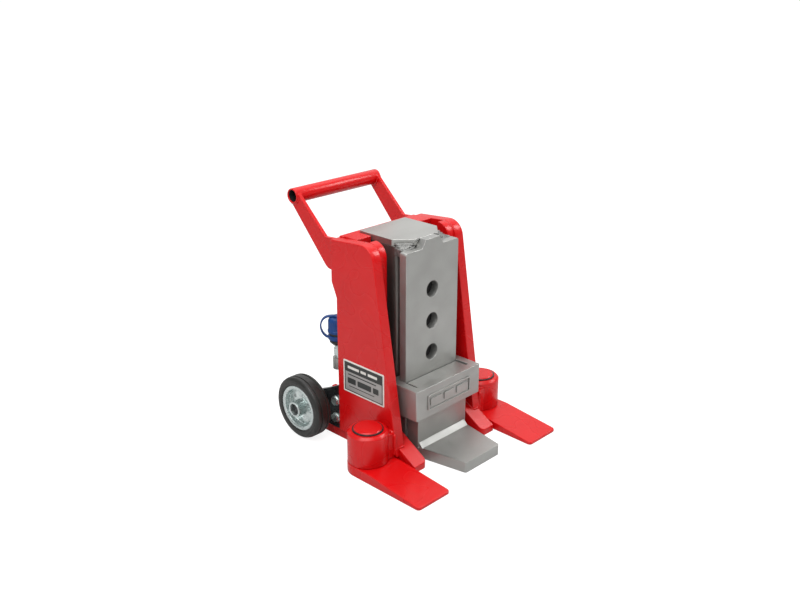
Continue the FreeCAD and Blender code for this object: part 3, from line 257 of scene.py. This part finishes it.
def make_finishes():
    """One finish for each material slot of the record, and more for steels, welds and print.

    A finish is given as its two tones, its least and most roughness, and its patches.
    """
    return {
        "red_paint": surface(
            "red_enamel", ((0.53, 0.003, 0.004), (0.58, 0.004, 0.005)), (0.24, 0.32),
            patch=90 * MM, waves=(20 * MM, 0.025 * MM), specular=0.36,
        ),
        "black_paint": surface(
            "black_enamel", ((0.008, 0.008, 0.009), (0.016, 0.016, 0.018)), (0.24, 0.38),
            patch=20 * MM, waves=(9 * MM, 0.05 * MM),
        ),
        "cast_grey": surface(
            "blasted_steel", ((0.345, 0.345, 0.33), (0.40, 0.40, 0.385)), (0.40, 0.50),
            metallic=0.8, patch=60 * MM, waves=(20 * MM, 0.02 * MM),
        ),
        "machined_steel": surface(
            "machined_steel", ((0.44, 0.44, 0.42), (0.48, 0.48, 0.46)), (0.34, 0.44),
            metallic=0.9, patch=40 * MM, streak=(4, 1, 1),
        ),
        "zinc_plate": surface(
            "zinc_plate", ((0.48, 0.54, 0.53), (0.66, 0.72, 0.71)), (0.24, 0.36),
            metallic=0.95, patch=14 * MM,
        ),
        "dark_steel": surface(
            "phosphated_steel", ((0.022, 0.022, 0.024), (0.05, 0.05, 0.052)), (0.34, 0.5),
            metallic=0.5, patch=6 * MM,
        ),
        "hard_chrome": surface(
            "hard_chrome", ((0.72, 0.73, 0.74), (0.80, 0.81, 0.82)), (0.06, 0.12),
            metallic=1.0, patch=40 * MM,
        ),
        "tyre_rubber": surface(
            "tyre_rubber", ((0.010, 0.010, 0.009), (0.020, 0.020, 0.018)), (0.36, 0.50),
            patch=16 * MM, waves=(8 * MM, 0.05 * MM),
        ),
        "seal_rubber": surface(
            "seal_rubber", ((0.018, 0.018, 0.018), (0.03, 0.03, 0.03)), (0.4, 0.5), patch=6 * MM
        ),
        "bush_plastic": surface(
            "bush_nylon", ((0.012, 0.012, 0.012), (0.026, 0.026, 0.024)), (0.45, 0.6), patch=6 * MM
        ),
        "cap_plastic": surface(
            "moulded_blue", ((0.006, 0.040, 0.170), (0.010, 0.055, 0.210)), (0.34, 0.46),
            patch=10 * MM, specular=0.3,
        ),
        "label_metal": surface(
            "label_silver", ((0.30, 0.29, 0.28), (0.37, 0.36, 0.35)), (0.36, 0.46),
            metallic=0.3, patch=14 * MM, streak=(1, 6, 1),
        ),
        # painted shade: this steel is darker than the blasted grey to stand in for the shade on the
        # carriage between the side plates
        "shade_darkened_steel": surface(
            "shade_darkened_steel", ((0.13, 0.12, 0.112), (0.19, 0.18, 0.17)), (0.30, 0.40),
            metallic=0.8, patch=24 * MM, streak=(1, 1, 5),
        ),
        # painted shade: near-black, standing in for the shade deep in the web's gap and inside the
        # handle tube
        "painted_shade_black": surface(
            "painted_shade_black", ((0.006, 0.006, 0.006), (0.012, 0.012, 0.012)), (0.5, 0.65), patch=8 * MM
        ),
        "weld_bead": surface(
            "bare_weld", ((0.13, 0.13, 0.125), (0.27, 0.27, 0.26)), (0.40, 0.54),
            metallic=0.6, patch=5 * MM,
        ),
        "label_ink": surface(
            "label_ink", ((0.012, 0.014, 0.012), (0.020, 0.022, 0.020)), (0.32, 0.42), patch=12 * MM
        ),
        "label_white": surface(
            "label_white", ((0.62, 0.60, 0.56), (0.72, 0.70, 0.66)), (0.36, 0.46), patch=9 * MM
        ),
    }


# Mesh helpers

# Points closer than this, in metres, are one point
SAME_POINT = 1e-7

# The rounding of a corner takes at most this share of an edge, and is left out where it would be
# shorter than this, in metres, or turn by less than this, in radians
CORNER_SHARE = 0.49
SHORTEST_ROUNDING = 1e-6
SMALLEST_TURN = 1e-3


def new_piece(name, mesh, finish, body=None, smooth_angle=38):
    """A shown object with one finish that rides on a CAD body."""
    piece = bpy.data.objects.new(name, mesh)
    bpy.context.scene.collection.objects.link(piece)
    mesh.materials.append(finish)
    mesh.shade_smooth()
    mesh.set_sharp_from_angle(angle=math.radians(smooth_angle))
    if body:
        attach(piece, body)
    return piece


def mesh_from(name, points, faces):
    """A mesh with its double points merged and its faces turned outwards."""
    mesh = bpy.data.meshes.new(name)
    mesh.from_pydata(points, [], faces)
    edit = bmesh.new()
    edit.from_mesh(mesh)
    bmesh.ops.remove_doubles(edit, verts=edit.verts, dist=SAME_POINT)
    bmesh.ops.recalc_face_normals(edit, faces=edit.faces)
    edit.to_mesh(mesh)
    edit.free()
    return mesh


def unit_circle(sides):
    angles = [2 * math.pi * k / sides for k in range(sides)]
    return [(math.cos(angle), math.sin(angle)) for angle in angles]


def profile(corners, start=0.0, side=1):
    """Corners given in millimetres, as distance along an axis, radius and own corner radius.

    They are measured from start, and side is -1 for a mirrored profile.
    """
    return [
        (start + side * along * MM, *(value * MM for value in sizes))
        for along, *sizes in corners
    ]


def rounded(corners, radius, steps=4):
    """An outline with its corners rounded. A corner may carry its own radius as a third number."""
    outline = []
    count = len(corners)
    for number, corner in enumerate(corners):
        here = Vector(corner[:2])
        before = Vector(corners[number - 1][:2]) - here
        after = Vector(corners[(number + 1) % count][:2]) - here
        size = corner[2] if len(corner) > 2 else radius
        turn = math.pi - before.angle(after)
        shorter = min(before.length * CORNER_SHARE, after.length * CORNER_SHARE)
        reach = min(size * math.tan(turn / 2), shorter)
        if reach < SHORTEST_ROUNDING or turn < SMALLEST_TURN:
            outline.append(here)
            continue
        start = here + before.normalized() * reach
        end = here + after.normalized() * reach
        for step in range(steps + 1):
            share = step / steps
            rest = 1 - share
            outline.append(rest ** 2 * start + 2 * share * rest * here + share ** 2 * end)
    return outline


def lathe(name, outline, centre, axis, segments=128, shape=None):
    """A closed outline of (distance along the axis, radius) turned about the axis, x or z.

    shape may change a point by its angle: it takes angle, distance and radius, and returns both.
    """
    points = []
    for step in range(segments):
        angle = 2 * math.pi * step / segments
        for along, radius in outline:
            a, r = shape(angle, along, radius) if shape else (along, radius)
            ring = (a, r * math.cos(angle), r * math.sin(angle))
            if axis == "z":
                ring = (r * math.cos(angle), r * math.sin(angle), a)
            points.append(Vector(centre) + Vector(ring))
    count = len(outline)
    faces = []
    for step in range(segments):
        here = step * count
        there = (step + 1) % segments * count
        for number in range(count):
            after = (number + 1) % count
            faces.append((here + number, here + after, there + after, there + number))
    return mesh_from(name, points, faces)


def tube(name, path, section, up=None):
    """A section swept along an open path, with flat ends.

    section takes the distance along the path and its whole length, and gives the outline there.
    up is the direction of the outline's second axis where the path starts.
    """
    path = [Vector(point) for point in path]
    count = len(path)
    lengths = [0.0]
    for first, second in zip(path, path[1:]):
        lengths.append(lengths[-1] + (second - first).length)
    tangents = []
    for number in range(count):
        step = path[min(number + 1, count - 1)] - path[max(number - 1, 0)]
        tangents.append(step.normalized())
    guide = up
    if guide is None:
        steep = abs(tangents[0].z) >= 0.9
        guide = Vector((1, 0, 0)) if steep else UP
    points, rings = [], []
    for number, (place, tangent) in enumerate(zip(path, tangents)):
        guide = (guide - tangent * guide.dot(tangent)).normalized()
        other = tangent.cross(guide)
        ring = section(lengths[number], lengths[-1])
        rings.append(range(len(points), len(points) + len(ring)))
        points.extend(place + other * a + guide * b for a, b in ring)
    faces = [tuple(reversed(rings[0])), tuple(rings[-1])]
    for first, second in zip(rings, rings[1:]):
        size = len(first)
        for k in range(size):
            after = (k + 1) % size
            faces.append((first[k], first[after], second[after], second[k]))
    return mesh_from(name, points, faces)


def round_section(radius, sides):
    """A section for tube that is the same circle all along."""
    circle = [(radius * a, radius * b) for a, b in unit_circle(sides)]
    return lambda along, total: circle


def slab(name, loops, thickness, edge, place):
    """A flat plate cut to closed outlines, an outer one and its holes, with rounded edges.

    It lies in its own XY plane, from 0 up to the thickness, and place moves it into the frame.
    """
    curve = bpy.data.curves.new(name, "CURVE")
    curve.dimensions = "2D"
    curve.fill_mode = "BOTH"
    curve.extrude = thickness / 2 - edge
    curve.bevel_depth = edge
    curve.bevel_resolution = 2
    curve.offset = -edge
    for loop in loops:
        line = curve.splines.new("POLY")
        line.points.add(len(loop) - 1)
        for point, (x, y) in zip(line.points, loop):
            point.co = (x, y, 0, 1)
        line.use_cyclic_u = True
    holder = bpy.data.objects.new(name, curve)
    mesh = bpy.data.meshes.new_from_object(holder)
    bpy.data.objects.remove(holder)
    mesh.transform(place @ Matrix.Translation((0, 0, thickness / 2)))
    return mesh


def plate_outline(width, height, radius, centre=(0, 0)):
    """A rectangle with round corners, given in millimetres, as an outline for slab."""
    x, y = centre
    w, h = width / 2, height / 2
    corners = [(x - w, y - h), (x + w, y - h), (x + w, y + h), (x - w, y + h)]
    return [point * MM for point in rounded(corners, radius, steps=5)]


def joined(name, meshes):
    """Several meshes without materials as one."""
    edit = bmesh.new()
    for mesh in meshes:
        edit.from_mesh(mesh)
    made = bpy.data.meshes.new(name)
    edit.to_mesh(made)
    edit.free()
    for mesh in meshes:
        bpy.data.meshes.remove(mesh)
    return made


# CAD nodes

# How far edges are rounded, by slot, and in the slots not named here
EDGE_ROUNDING = {
    "red_paint": 1.2 * MM,
    "black_paint": 0.7 * MM,
    "cast_grey": 1.0 * MM,
    "machined_steel": 0.6 * MM,
}
FINE_ROUNDING = 0.35 * MM
ROUNDING_STEPS = 3

# CAD points closer than this, in metres, are merged before that
CAD_SAME_POINT = 1e-6

# In degrees: edges flatter than the first are dissolved, and edges sharper than the second are
# rounded
FLAT_ANGLE = 1
EDGE_ANGLE = 32

# Nodes that are darker than their slot in the record: painted shade on the carriage body and guide
# bars between the side plates and on the web deep in its gap, and bare weld on the rail stops
OTHER_FINISHES = {
    "carriage_body": "shade_darkened_steel",
    "guide_bar_left": "shade_darkened_steel",
    "guide_bar_right": "shade_darkened_steel",
    "rail_web": "painted_shade_black",
    "rail_stops": "weld_bead",
}


def finish_nodes():
    """Every CAD node gets the finish of its slot, or the darker one listed above, and edges as soft
    as plate and paint have.
    """
    for name, part in nodes.items():
        slot = node_slots[name]
        part.data.materials.clear()
        part.data.materials.append(finishes[OTHER_FINISHES.get(name, slot)])
        weld = part.modifiers.new("weld", "WELD")
        weld.merge_threshold = CAD_SAME_POINT
        flat = part.modifiers.new("flat", "DECIMATE")
        flat.decimate_type = "DISSOLVE"
        flat.angle_limit = math.radians(FLAT_ANGLE)
        soft = part.modifiers.new("edges", "BEVEL")
        soft.width = EDGE_ROUNDING.get(slot, FINE_ROUNDING)
        soft.segments = ROUNDING_STEPS
        soft.limit_method = "ANGLE"
        soft.angle_limit = math.radians(EDGE_ANGLE)
        soft.use_clamp_overlap = True
        soft.harden_normals = True


# Wheels

# Ribs pressed out of the rim's disc: their number, the radii that they run between, the part of
# the wheel's width that they stay in, their height, and half their width as a share of a step
RIBS = 5
RIB_INSIDE = 14.5 * MM
RIB_OUTSIDE = 30 * MM
RIB_ZONE = 6.5 * MM
RIB_HEIGHT = 2.6 * MM
RIB_HALF_WIDTH = 0.24

# Half the outline of the tyre, from its seat on the rim to the outer edge of a groove and down
# into it: distance from the wheel's middle plane, radius and corner radius, in millimetres
TYRE_HALF = [
    (10.5, 33.5),
    (10.5, 37.6),
    (13.3, 37.8, 0.6),
    (14.6, 39.4, 1.0),
    (15.0, 42.5, 3),
    (14.4, 47.2, 3),
    (11.6, 50.6, 3),
    (8.0, 51.5, 3),
    (7.3, 51.5, 0.4),
    (6.9, 50.0, 0.3),
    (5.4, 50.0, 0.3),
    (5.0, 51.5, 0.4),
]

# The outline of the rim in the same measures, going round the section: the hub, the front of the
# disc, the outer lip, the seat, the inner lip, the back of the disc and the hub again
HUB_FRONT = [(-24.2, 9.6), (21, 9.6, 0.4), (21, 13, 1.2), (7.5, 13, 1.5)]
DISC_FRONT = [
    (5.6, 13.6), (5.5, 14.5), (5.1, 17), (4.6, 20), (4.1, 23), (3.6, 26), (3.0, 28.5), (2.8, 30.2),
]
LIPS_AND_SEAT = [
    (4.0, 31.0, 1.2),
    (12.6, 31.4, 1.0),
    (13.6, 34, 1.0),
    (13.4, 37.4, 0.9),
    (11.6, 37.9, 0.8),
    (10.5, 36.5, 0.5),
    (10.5, 33.5),
    (-10.5, 33.5),
    (-10.5, 37.5),
    (-13, 37.5, 0.8),
    (-13, 31, 0.8),
    (1.0, 31.0, 1.0),
]
HUB_BACK = [(3.2, 13), (-24.2, 13)]

# Thickness of the disc, in millimetres
SHEET = 2.4


def node_middle(name):
    """The middle of the box round a CAD node."""
    low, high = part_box(name)
    return (low + high) / 2


def rib(angle, along, radius):
    """Ribs that stand out of the rim's disc and fade at both ends."""
    if not RIB_INSIDE < radius < RIB_OUTSIDE or abs(along) >= RIB_ZONE:
        return along, radius
    share = (radius - RIB_INSIDE) / (RIB_OUTSIDE - RIB_INSIDE)
    reach = math.sin(math.pi * share) ** 0.5
    turn = (angle * RIBS / (2 * math.pi)) % 1 - 0.5
    crest = max(0.0, 1 - abs(turn) / RIB_HALF_WIDTH)
    crest = crest * crest * (3 - 2 * crest)
    return along + RIB_HEIGHT * reach * crest, radius


def make_wheel(side, hand):
    """A moulded tyre with two grooves, and a pressed sheet rim with ribs and a rolled lip."""
    middle = node_middle(f"wheel_tyre_{hand}")
    body = f"wheel_{hand}"
    outline = profile(TYRE_HALF) + profile(reversed(TYRE_HALF), side=-1)
    mesh = lathe("tyre", rounded(outline, 0.3 * MM), middle, "x", segments=160)
    tyre = new_piece(f"tyre_{hand}", mesh, finishes["tyre_rubber"], body)
    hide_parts(f"wheel_tyre_{hand}")

    disc_back = [(along - SHEET, radius) for along, radius in reversed(DISC_FRONT)]
    corners = HUB_FRONT + DISC_FRONT + LIPS_AND_SEAT + disc_back + HUB_BACK
    outline = rounded(profile(corners, side=side), 0.0, steps=3)

    def pressed(angle, along, radius):
        moved, kept = rib(angle, along * side, radius)
        return moved * side, kept

    mesh = lathe("rim", outline, middle, "x", segments=200, shape=pressed)
    rim = new_piece(
        f"rim_{hand}", mesh, finishes["zinc_plate"], body, smooth_angle=30
    )
    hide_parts(f"wheel_rim_{hand}")


# Pump coupling

# Outline of the coupler's body: height above its foot, radius and corner radius, in millimetres
COUPLER_OUTLINE = [
    (0, 0),
    (0, 8, 0.6),
    (5, 13, 1.0),
    (8.4, 13, 0.3),
    (8.8, 12.2, 0.3),
    (9.6, 12.2, 0.3),
    (10, 13, 0.3),
    (21.5, 13, 0.8),
    (21.5, 10.5, 0.5),
    (39.5, 10.5, 0.6),
    (42.5, 8.6, 0.8),
    (42.5, 6, 0.3),
    (38, 4.4, 0.3),
    (38, 0),
]

# The dust cap: its outer radius, the radius of its bore and the thickness of its top
CAP_RADIUS = 15.8 * MM
CAP_BORE = 10.9 * MM
CAP_TOP = 3.4 * MM

# The strap, in millimetres: its ring round the coupler, as height above the floor, radius and
# corner radius; the course of its band, as distance from the coupler's axis and height above the
# floor; and its button, as height above the top of the cap and radius
RING_OUTLINE = [(161, 12.9), (161, 15.4, 0.9), (168, 15.4, 0.9), (168, 12.9)]
BAND_COURSE = [
    (14.2, 163.5), (18.5, 165.5), (23.3, 171.0), (26.2, 178.5), (26.3, 186.0), (23.2, 193.4),
    (17.8, 197.9), (11.0, 199.4), (5.0, 199.6), (0.0, 199.6),
]
BUTTON_OUTLINE = [(0, 0), (0, 6), (2.0, 6), (2.8, 5), (2.8, 0)]


def flutes(count, depth, low, high):
    """A shape for lathe that cuts shallow round flutes between two heights."""

    def shape(angle, along, radius):
        if low < along < high:
            radius -= depth * (0.5 + 0.5 * math.cos(angle * count))
        return along, radius

    return shape


def make_coupling():
    """The coupler's body, its fluted dust cap and the strap that keeps the cap."""
    low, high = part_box("coupler_body")
    centre = Vector(((low.x + high.x) / 2, (low.y + high.y) / 2, 0))
    foot = low.z
    cap_low, cap_high = (corner.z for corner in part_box("dust_cap"))

    knurl = flutes(36, 0.35 * MM, foot + 11 * MM, foot + 20 * MM)
    outline = rounded(profile(COUPLER_OUTLINE, start=foot), 0.2 * MM, steps=3)
    mesh = lathe("coupler", outline, centre, "z", segments=144, shape=knurl)
    coupler = new_piece(
        "coupler", mesh, finishes["dark_steel"], "frame", smooth_angle=30
    )
    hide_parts("coupler_body")

    grips = flutes(28, 0.5 * MM, cap_low + 5.5 * MM, cap_high - 5 * MM)
    corners = [
        (cap_low, CAP_BORE),
        (cap_low, CAP_RADIUS, 1.0 * MM),
        (cap_low + 4 * MM, CAP_RADIUS, 0.5 * MM),
        (cap_low + 5 * MM, CAP_RADIUS - 0.7 * MM, 0.5 * MM),
        (cap_high - 6 * MM, CAP_RADIUS - 0.9 * MM, 1 * MM),
        (cap_high, CAP_RADIUS - 3.2 * MM, 4 * MM),
        (cap_high, 0),
        (cap_high - CAP_TOP, 0),
        (cap_high - CAP_TOP, CAP_BORE),
    ]
    outline = rounded(corners, 0.0, steps=6)
    mesh = lathe("cap", outline, centre, "z", segments=168, shape=grips)
    dust_cap = new_piece(
        "cap", mesh, finishes["cap_plastic"], "dust_cap", smooth_angle=30
    )
    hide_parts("dust_cap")
    make_strap(centre, cap_high)


def make_strap(centre, cap_high):
    """A ring round the coupler, and a band that runs from it over to a button on the cap."""
    mesh = lathe("neck", rounded(profile(RING_OUTLINE), 0.0), centre, "z", segments=96)
    neck = new_piece("strap_neck", mesh, finishes["cap_plastic"], "frame")

    diagonal = math.sqrt(0.5)
    outwards = Vector((-diagonal, diagonal, 0))
    level = Vector((diagonal, diagonal, 0))
    places = [centre + outwards * away * MM + UP * height * MM for away, height in BAND_COURSE]
    corners = [(-1.2, -3.5), (1.2, -3.5), (1.2, 3.5), (-1.2, 3.5)]
    section = [point * MM for point in rounded(corners, 0.8)]
    band = tube("band", smooth_path(places, 6), lambda along, total: section, up=level)
    button = lathe("button", profile(BUTTON_OUTLINE, start=cap_high), centre, "z", segments=48)
    mesh = joined("strap", [band, button])
    strap = new_piece("strap", mesh, finishes["cap_plastic"])
    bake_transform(strap)
    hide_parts("cap_strap")
    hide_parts("cap_strap")


def smooth_path(points, steps):
    """A Catmull-Rom curve through some points, with a number of steps between each pair."""
    ends = [2 * points[0] - points[1], *points, 2 * points[-1] - points[-2]]
    path = []
    for before, start, end, after in zip(ends, ends[1:], ends[2:], ends[3:]):
        for step in range(steps):
            t = step / steps
            slope = end - before
            bend = 2 * before - 5 * start + 4 * end - after
            twist = 3 * start - before - 3 * end + after
            path.append(0.5 * (2 * start + slope * t + bend * t ** 2 + twist * t ** 3))
    path.append(points[-1])
    return path


def make_spring():
    """The return spring: nine turns, with the last half turn at each end laid flat."""
    low, high = (corner.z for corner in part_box("return_spring"))
    wire = 2 * MM
    mean = 20 * MM
    turns = 9
    count = 40 * turns
    travel = high - low - 2 * wire
    path = []
    for step in range(count + 1):
        share = step / count
        angle = 2 * math.pi * turns * share
        rise = min(max((share * turns - 0.5) / (turns - 1), 0.0), 1.0)
        height = low + wire + travel * rise
        path.append((mean * math.cos(angle), mean * math.sin(angle), height))
    mesh = tube("spring", path, round_section(wire, 12))
    spring = new_piece("spring", mesh, finishes["dark_steel"])
    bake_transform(spring)
    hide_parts("return_spring")


def make_handle_bore():
    """The inside of the handle tube, near-black as painted shade in its hollow."""
    low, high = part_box("handle_tube")
    centre = Vector((0, (low.y + high.y) / 2, (low.z + high.z) / 2))
    reach = high.x - 2 * MM
    outer = 9.5 * MM
    inner = 9.2 * MM
    outline = [(-reach, outer), (reach, outer), (reach, inner), (-reach, inner)]
    mesh = lathe("handle_bore", outline, centre, "x", segments=64)
    new_piece("handle_bore", mesh, finishes["painted_shade_black"], "frame", smooth_angle=30)


# Label and badge

# Turns of a flat piece so that its face looks to the left, and to the front
FACING_LEFT = Matrix(((0, 0, -1, 0), (-1, 0, 0, 0), (0, 1, 0, 0), (0, 0, 0, 1)))
FACING_FRONT = Matrix(((1, 0, 0, 0), (0, 0, -1, 0), (0, 1, 0, 0), (0, 0, 0, 1)))


def make_label():
    """The rating plate, with plain bars where print would be."""
    low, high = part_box("label_plate")
    middle = (low + high) / 2
    width = (high.y - low.y) / MM
    height = (high.z - low.z) / MM
    depth = high.x - low.x

    def layer(name, shapes, finish, lift, thick):
        """Flat shapes in one finish, given as width, height, radius and centre in millimetres.

        lift is the height of the layer's underside over the back of the label.
        """
        place = Matrix.Translation((high.x - lift, middle.y, middle.z)) @ FACING_LEFT
        edge = thick * 0.3
        meshes = [slab(name, [plate_outline(*shape)], thick, edge, place) for shape in shapes]
        mesh = joined(name, meshes)
        return new_piece(name, mesh, finishes[finish], "frame", smooth_angle=30)

    plate = layer("label_border", [(width, height, 2.0)], "label_white", 0.0, depth)
    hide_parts("label_plate")

    film = 0.06 * MM
    border = 5.2
    panel_height = height - border
    panel = [(width - border, panel_height, 1.0)]
    layer("label_panel", panel, "label_ink", depth - 0.02 * MM, film)

    panel_top = height / 2 - border / 2
    field_top = panel_top - 15.8
    field_height = panel_height - 17.6
    field = [(width - 9.0, field_height, 0.8, (0, field_top - field_height / 2))]
    layer("label_field", field, "label_metal", depth + 0.03 * MM, film)

    header_z = panel_top - 8.0
    header = [
        (25, 4.4, 1.0, (-22, header_z)),
        (12, 4.4, 1.0, (0, header_z)),
        (20, 4.4, 1.0, (20, header_z)),
    ]
    layer("label_header", header, "label_white", depth + 0.03 * MM, film)

    blocks_z = field_top - 14.6
    rows = [
        (62, 2.0, 0.5, (-3, field_top - 4.2)),
        (18, 9.5, 1.2, (-26, blocks_z)),
        (30, 9.5, 1.2, (2, blocks_z)),
        (12, 9.5, 1.2, (27, blocks_z)),
        (56, 1.4, 0.4, (-4, field_top - 24.0)),
    ]
    layer("label_rows", rows, "label_ink", depth + 0.08 * MM, film)


def make_badge():
    """A plain raised badge on the collar: a frame round three bars."""
    low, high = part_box("toe_collar")
    sunk = 0.3 * MM
    height = (low.z + high.z) / 2 - 1 * MM
    place = Matrix.Translation((0, low.y + sunk, height)) @ FACING_FRONT
    thick = 2.3 * MM
    edge = 0.35 * MM
    border = [plate_outline(98, 26, 3), plate_outline(93.5, 21.5, 2)]
    meshes = [slab("badge_frame", border, thick, edge, place)]
    for width, x in ((26, -30), (24, 0), (26, 30)):
        bar = plate_outline(width, 12.5, 2.4, (x, 0))
        meshes.append(slab("badge_bar", [bar], thick, edge, place))
    mesh = joined("badge", meshes)
    new_piece("badge", mesh, finishes["cast_grey"], "toe", smooth_angle=35)


# Welds

# A bead's mesh: the distance between its rings, and the points in a ring
BEAD_STEP = 0.7 * MM
BEAD_SIDES = 12

# A bead's size as a share of its radius: without ripples, and what ripples and swells add to it
BEAD_SIZE = 0.94
RIPPLE_SIZE = 0.10
SWELL_SIZE = 0.05

# The lengths of two slow swells, each as the distance for one radian, and the least of the taper
# at a bead's ends
SWELL_LENGTHS = (9 * MM, 4.3 * MM)
LEAST_TAPER = 0.04


def bead(path, radius, seed, pitch=2.6 * MM, flat=0.85):
    """A weld bead along a path, with its ripples and an uneven edge.

    flat is its height as a share of its width, and pitch is the distance between ripples.
    """
    chance = random.Random(seed)
    path = [Vector(point) for point in path]
    course = []
    for first, second in zip(path, path[1:]):
        steps = max(2, round((second - first).length / BEAD_STEP))
        course += [first.lerp(second, step / steps) for step in range(steps)]
    course.append(path[-1])
    wander = [chance.uniform(0, 2 * math.pi) for _ in range(3)]
    ring = unit_circle(BEAD_SIDES)

    def section(along, total):
        ripple = 0.5 + 0.5 * math.cos(2 * math.pi * along / pitch + wander[0])
        swell = sum(
            math.sin(along / length + start)
            for length, start in zip(SWELL_LENGTHS, wander[1:])
        )
        size = radius * (BEAD_SIZE + RIPPLE_SIZE * ripple + SWELL_SIZE * swell)
        end = min(along, total - along) / radius
        size *= min(1.0, math.sqrt(max(LEAST_TAPER, end)))
        return [(size * a, size * flat * b) for a, b in ring]

    return tube("bead", course, section)


def bead_pairs(runs, seed, **shape):
    """Beads on both sides of the jack, from runs of a path and a radius in millimetres."""
    beads = []
    for number, (path, radius) in enumerate(runs):
        for copy, (side, _) in enumerate(SIDES):
            points = [(side * x * MM, y * MM, z * MM) for x, y, z in path]
            beads.append(bead(points, radius * MM, seed=seed + 10 * number + copy, **shape))
    return beads


def arc(centre, radius, first, last, count):
    """Points on an arc between two angles in degrees, about a centre (u, v)."""
    points = []
    for step in range(count + 1):
        angle = math.radians(first + (last - first) * step / count)
        points.append((centre[0] + radius * math.cos(angle), centre[1] + radius * math.sin(angle)))
    return points


def make_frame_welds():
    """Painted fillet welds between the plates, lugs, hubs and handle."""
    # In millimetres: the hub's axis in x and y, the handle tube's axis in y and z, and places that
    # are just off the outer face of a side plate, both ends of a lug and both faces of a handle arm
    pivot = (131.5, -59.1)
    grip = (146.2, 382.3)
    plate_face = 100.3
    lug_front = pivot[1] - 25.3
    lug_back = pivot[1] + 25.3
    arm_in = 82.4
    arm_out = 88.6
    hub_seam = arc(pivot, 31.8, 128, 232, 16)
    grip_seam = arc(grip, 12.3, 155, 299, 18)
    runs = [
        # Side plate to base arm, across its front edge and along its inner face
        ([(82, -87.4, 31), (94, -87.4, 31)], 2.6),
        ([(81.8, -87, 31.2), (81.8, -66, 43.4)], 2.6),
        # Lug to side plate
        ([(plate_face, lug_front, 19), (plate_face, lug_front, 57)], 3.4),
        ([(plate_face, lug_back, 19), (plate_face, lug_back, 57)], 3.4),
        ([(plate_face, pivot[1] - 24, 58.2), (plate_face, pivot[1] + 24, 58.2)], 3.2),
        # Lug to hub
        ([(x, y, 58.3) for x, y in hub_seam], 2.4),
        # Back plate to side plate
        ([(83.6, 41.6, 97), (83.6, 41.6, 242)], 4.0),
        # Handle arm to the rear edge of the side plate
        ([(arm_in, 50.4, 284), (arm_in, 50.4, 331)], 2.6),
        ([(arm_out, 50.4, 284), (arm_out, 50.4, 331)], 2.6),
        # Handle arm to tube
        ([(arm_in, y, z) for y, z in grip_seam], 1.9),
        ([(arm_out, y, z) for y, z in grip_seam], 1.7),
        # Side plate to the edge of the base plate, and to the front guide strip
        ([(94.4, -60, 16.8), (94.4, 38, 16.8)], 2.2),
        ([(81.6, -38.6, 46), (81.6, -38.6, 318)], 2.2),
    ]
    beads = bead_pairs(runs, seed=0)

    # Back plate to base plate, with a gap for the oil pipe
    for seed, first, last in ((201, -70, -12), (202, 12, 70)):
        seam = [(x * MM, 50.4 * MM, 18 * MM) for x in (first, last)]
        beads.append(bead(seam, 3 * MM, seed=seed))
    mesh = joined("frame_welds", beads)
    new_piece("frame_welds", mesh, finishes["red_paint"], "frame", smooth_angle=60)


def make_carriage_welds():
    """Bare multi-run welds that fill the gap between the head plate and the rail plate."""
    runs = [
        ([(48.5, -33.5, 333.5), (27.5, -54.5, 333.5)], 3.6),
        ([(49.5, -38.0, 330.5), (31.0, -54.0, 331.0)], 4.2),
        ([(50.5, -43.0, 328.5), (36.0, -53.5, 329.5)], 4.2),
        ([(52.0, -48.5, 326.8), (43.0, -54.0, 327.8)], 3.8),
        ([(54.5, -54.4, 326.0), (25.0, -54.4, 329.6)], 3.0),
        ([(26.5, -54.5, 337.5), (16.0, -54.6, 341.0)], 1.6),
    ]
    mesh = joined("carriage_welds", bead_pairs(runs, seed=500, pitch=3.2 * MM, flat=0.8))
    new_piece(
        "carriage_welds", mesh, finishes["weld_bead"], "carriage", smooth_angle=50
    )


def make_web_welds():
    """Seams along the web, to the rail plate in front of it and to the body behind it."""
    runs = [([(18.4, y, 24), (18.4, y, 316)], 2.4) for y in (-53.6, -41.6)]
    mesh = joined("web_welds", bead_pairs(runs, seed=700))
    new_piece("web_welds", mesh, finishes["cast_grey"], "carriage", smooth_angle=60)


# Build

finishes = make_finishes()
make_camera()
make_studio()
finish_nodes()
for side, hand in SIDES:
    make_wheel(side, hand)
make_coupling()
make_spring()
make_handle_bore()
make_label()
make_badge()
make_frame_welds()
make_carriage_welds()
make_web_welds()
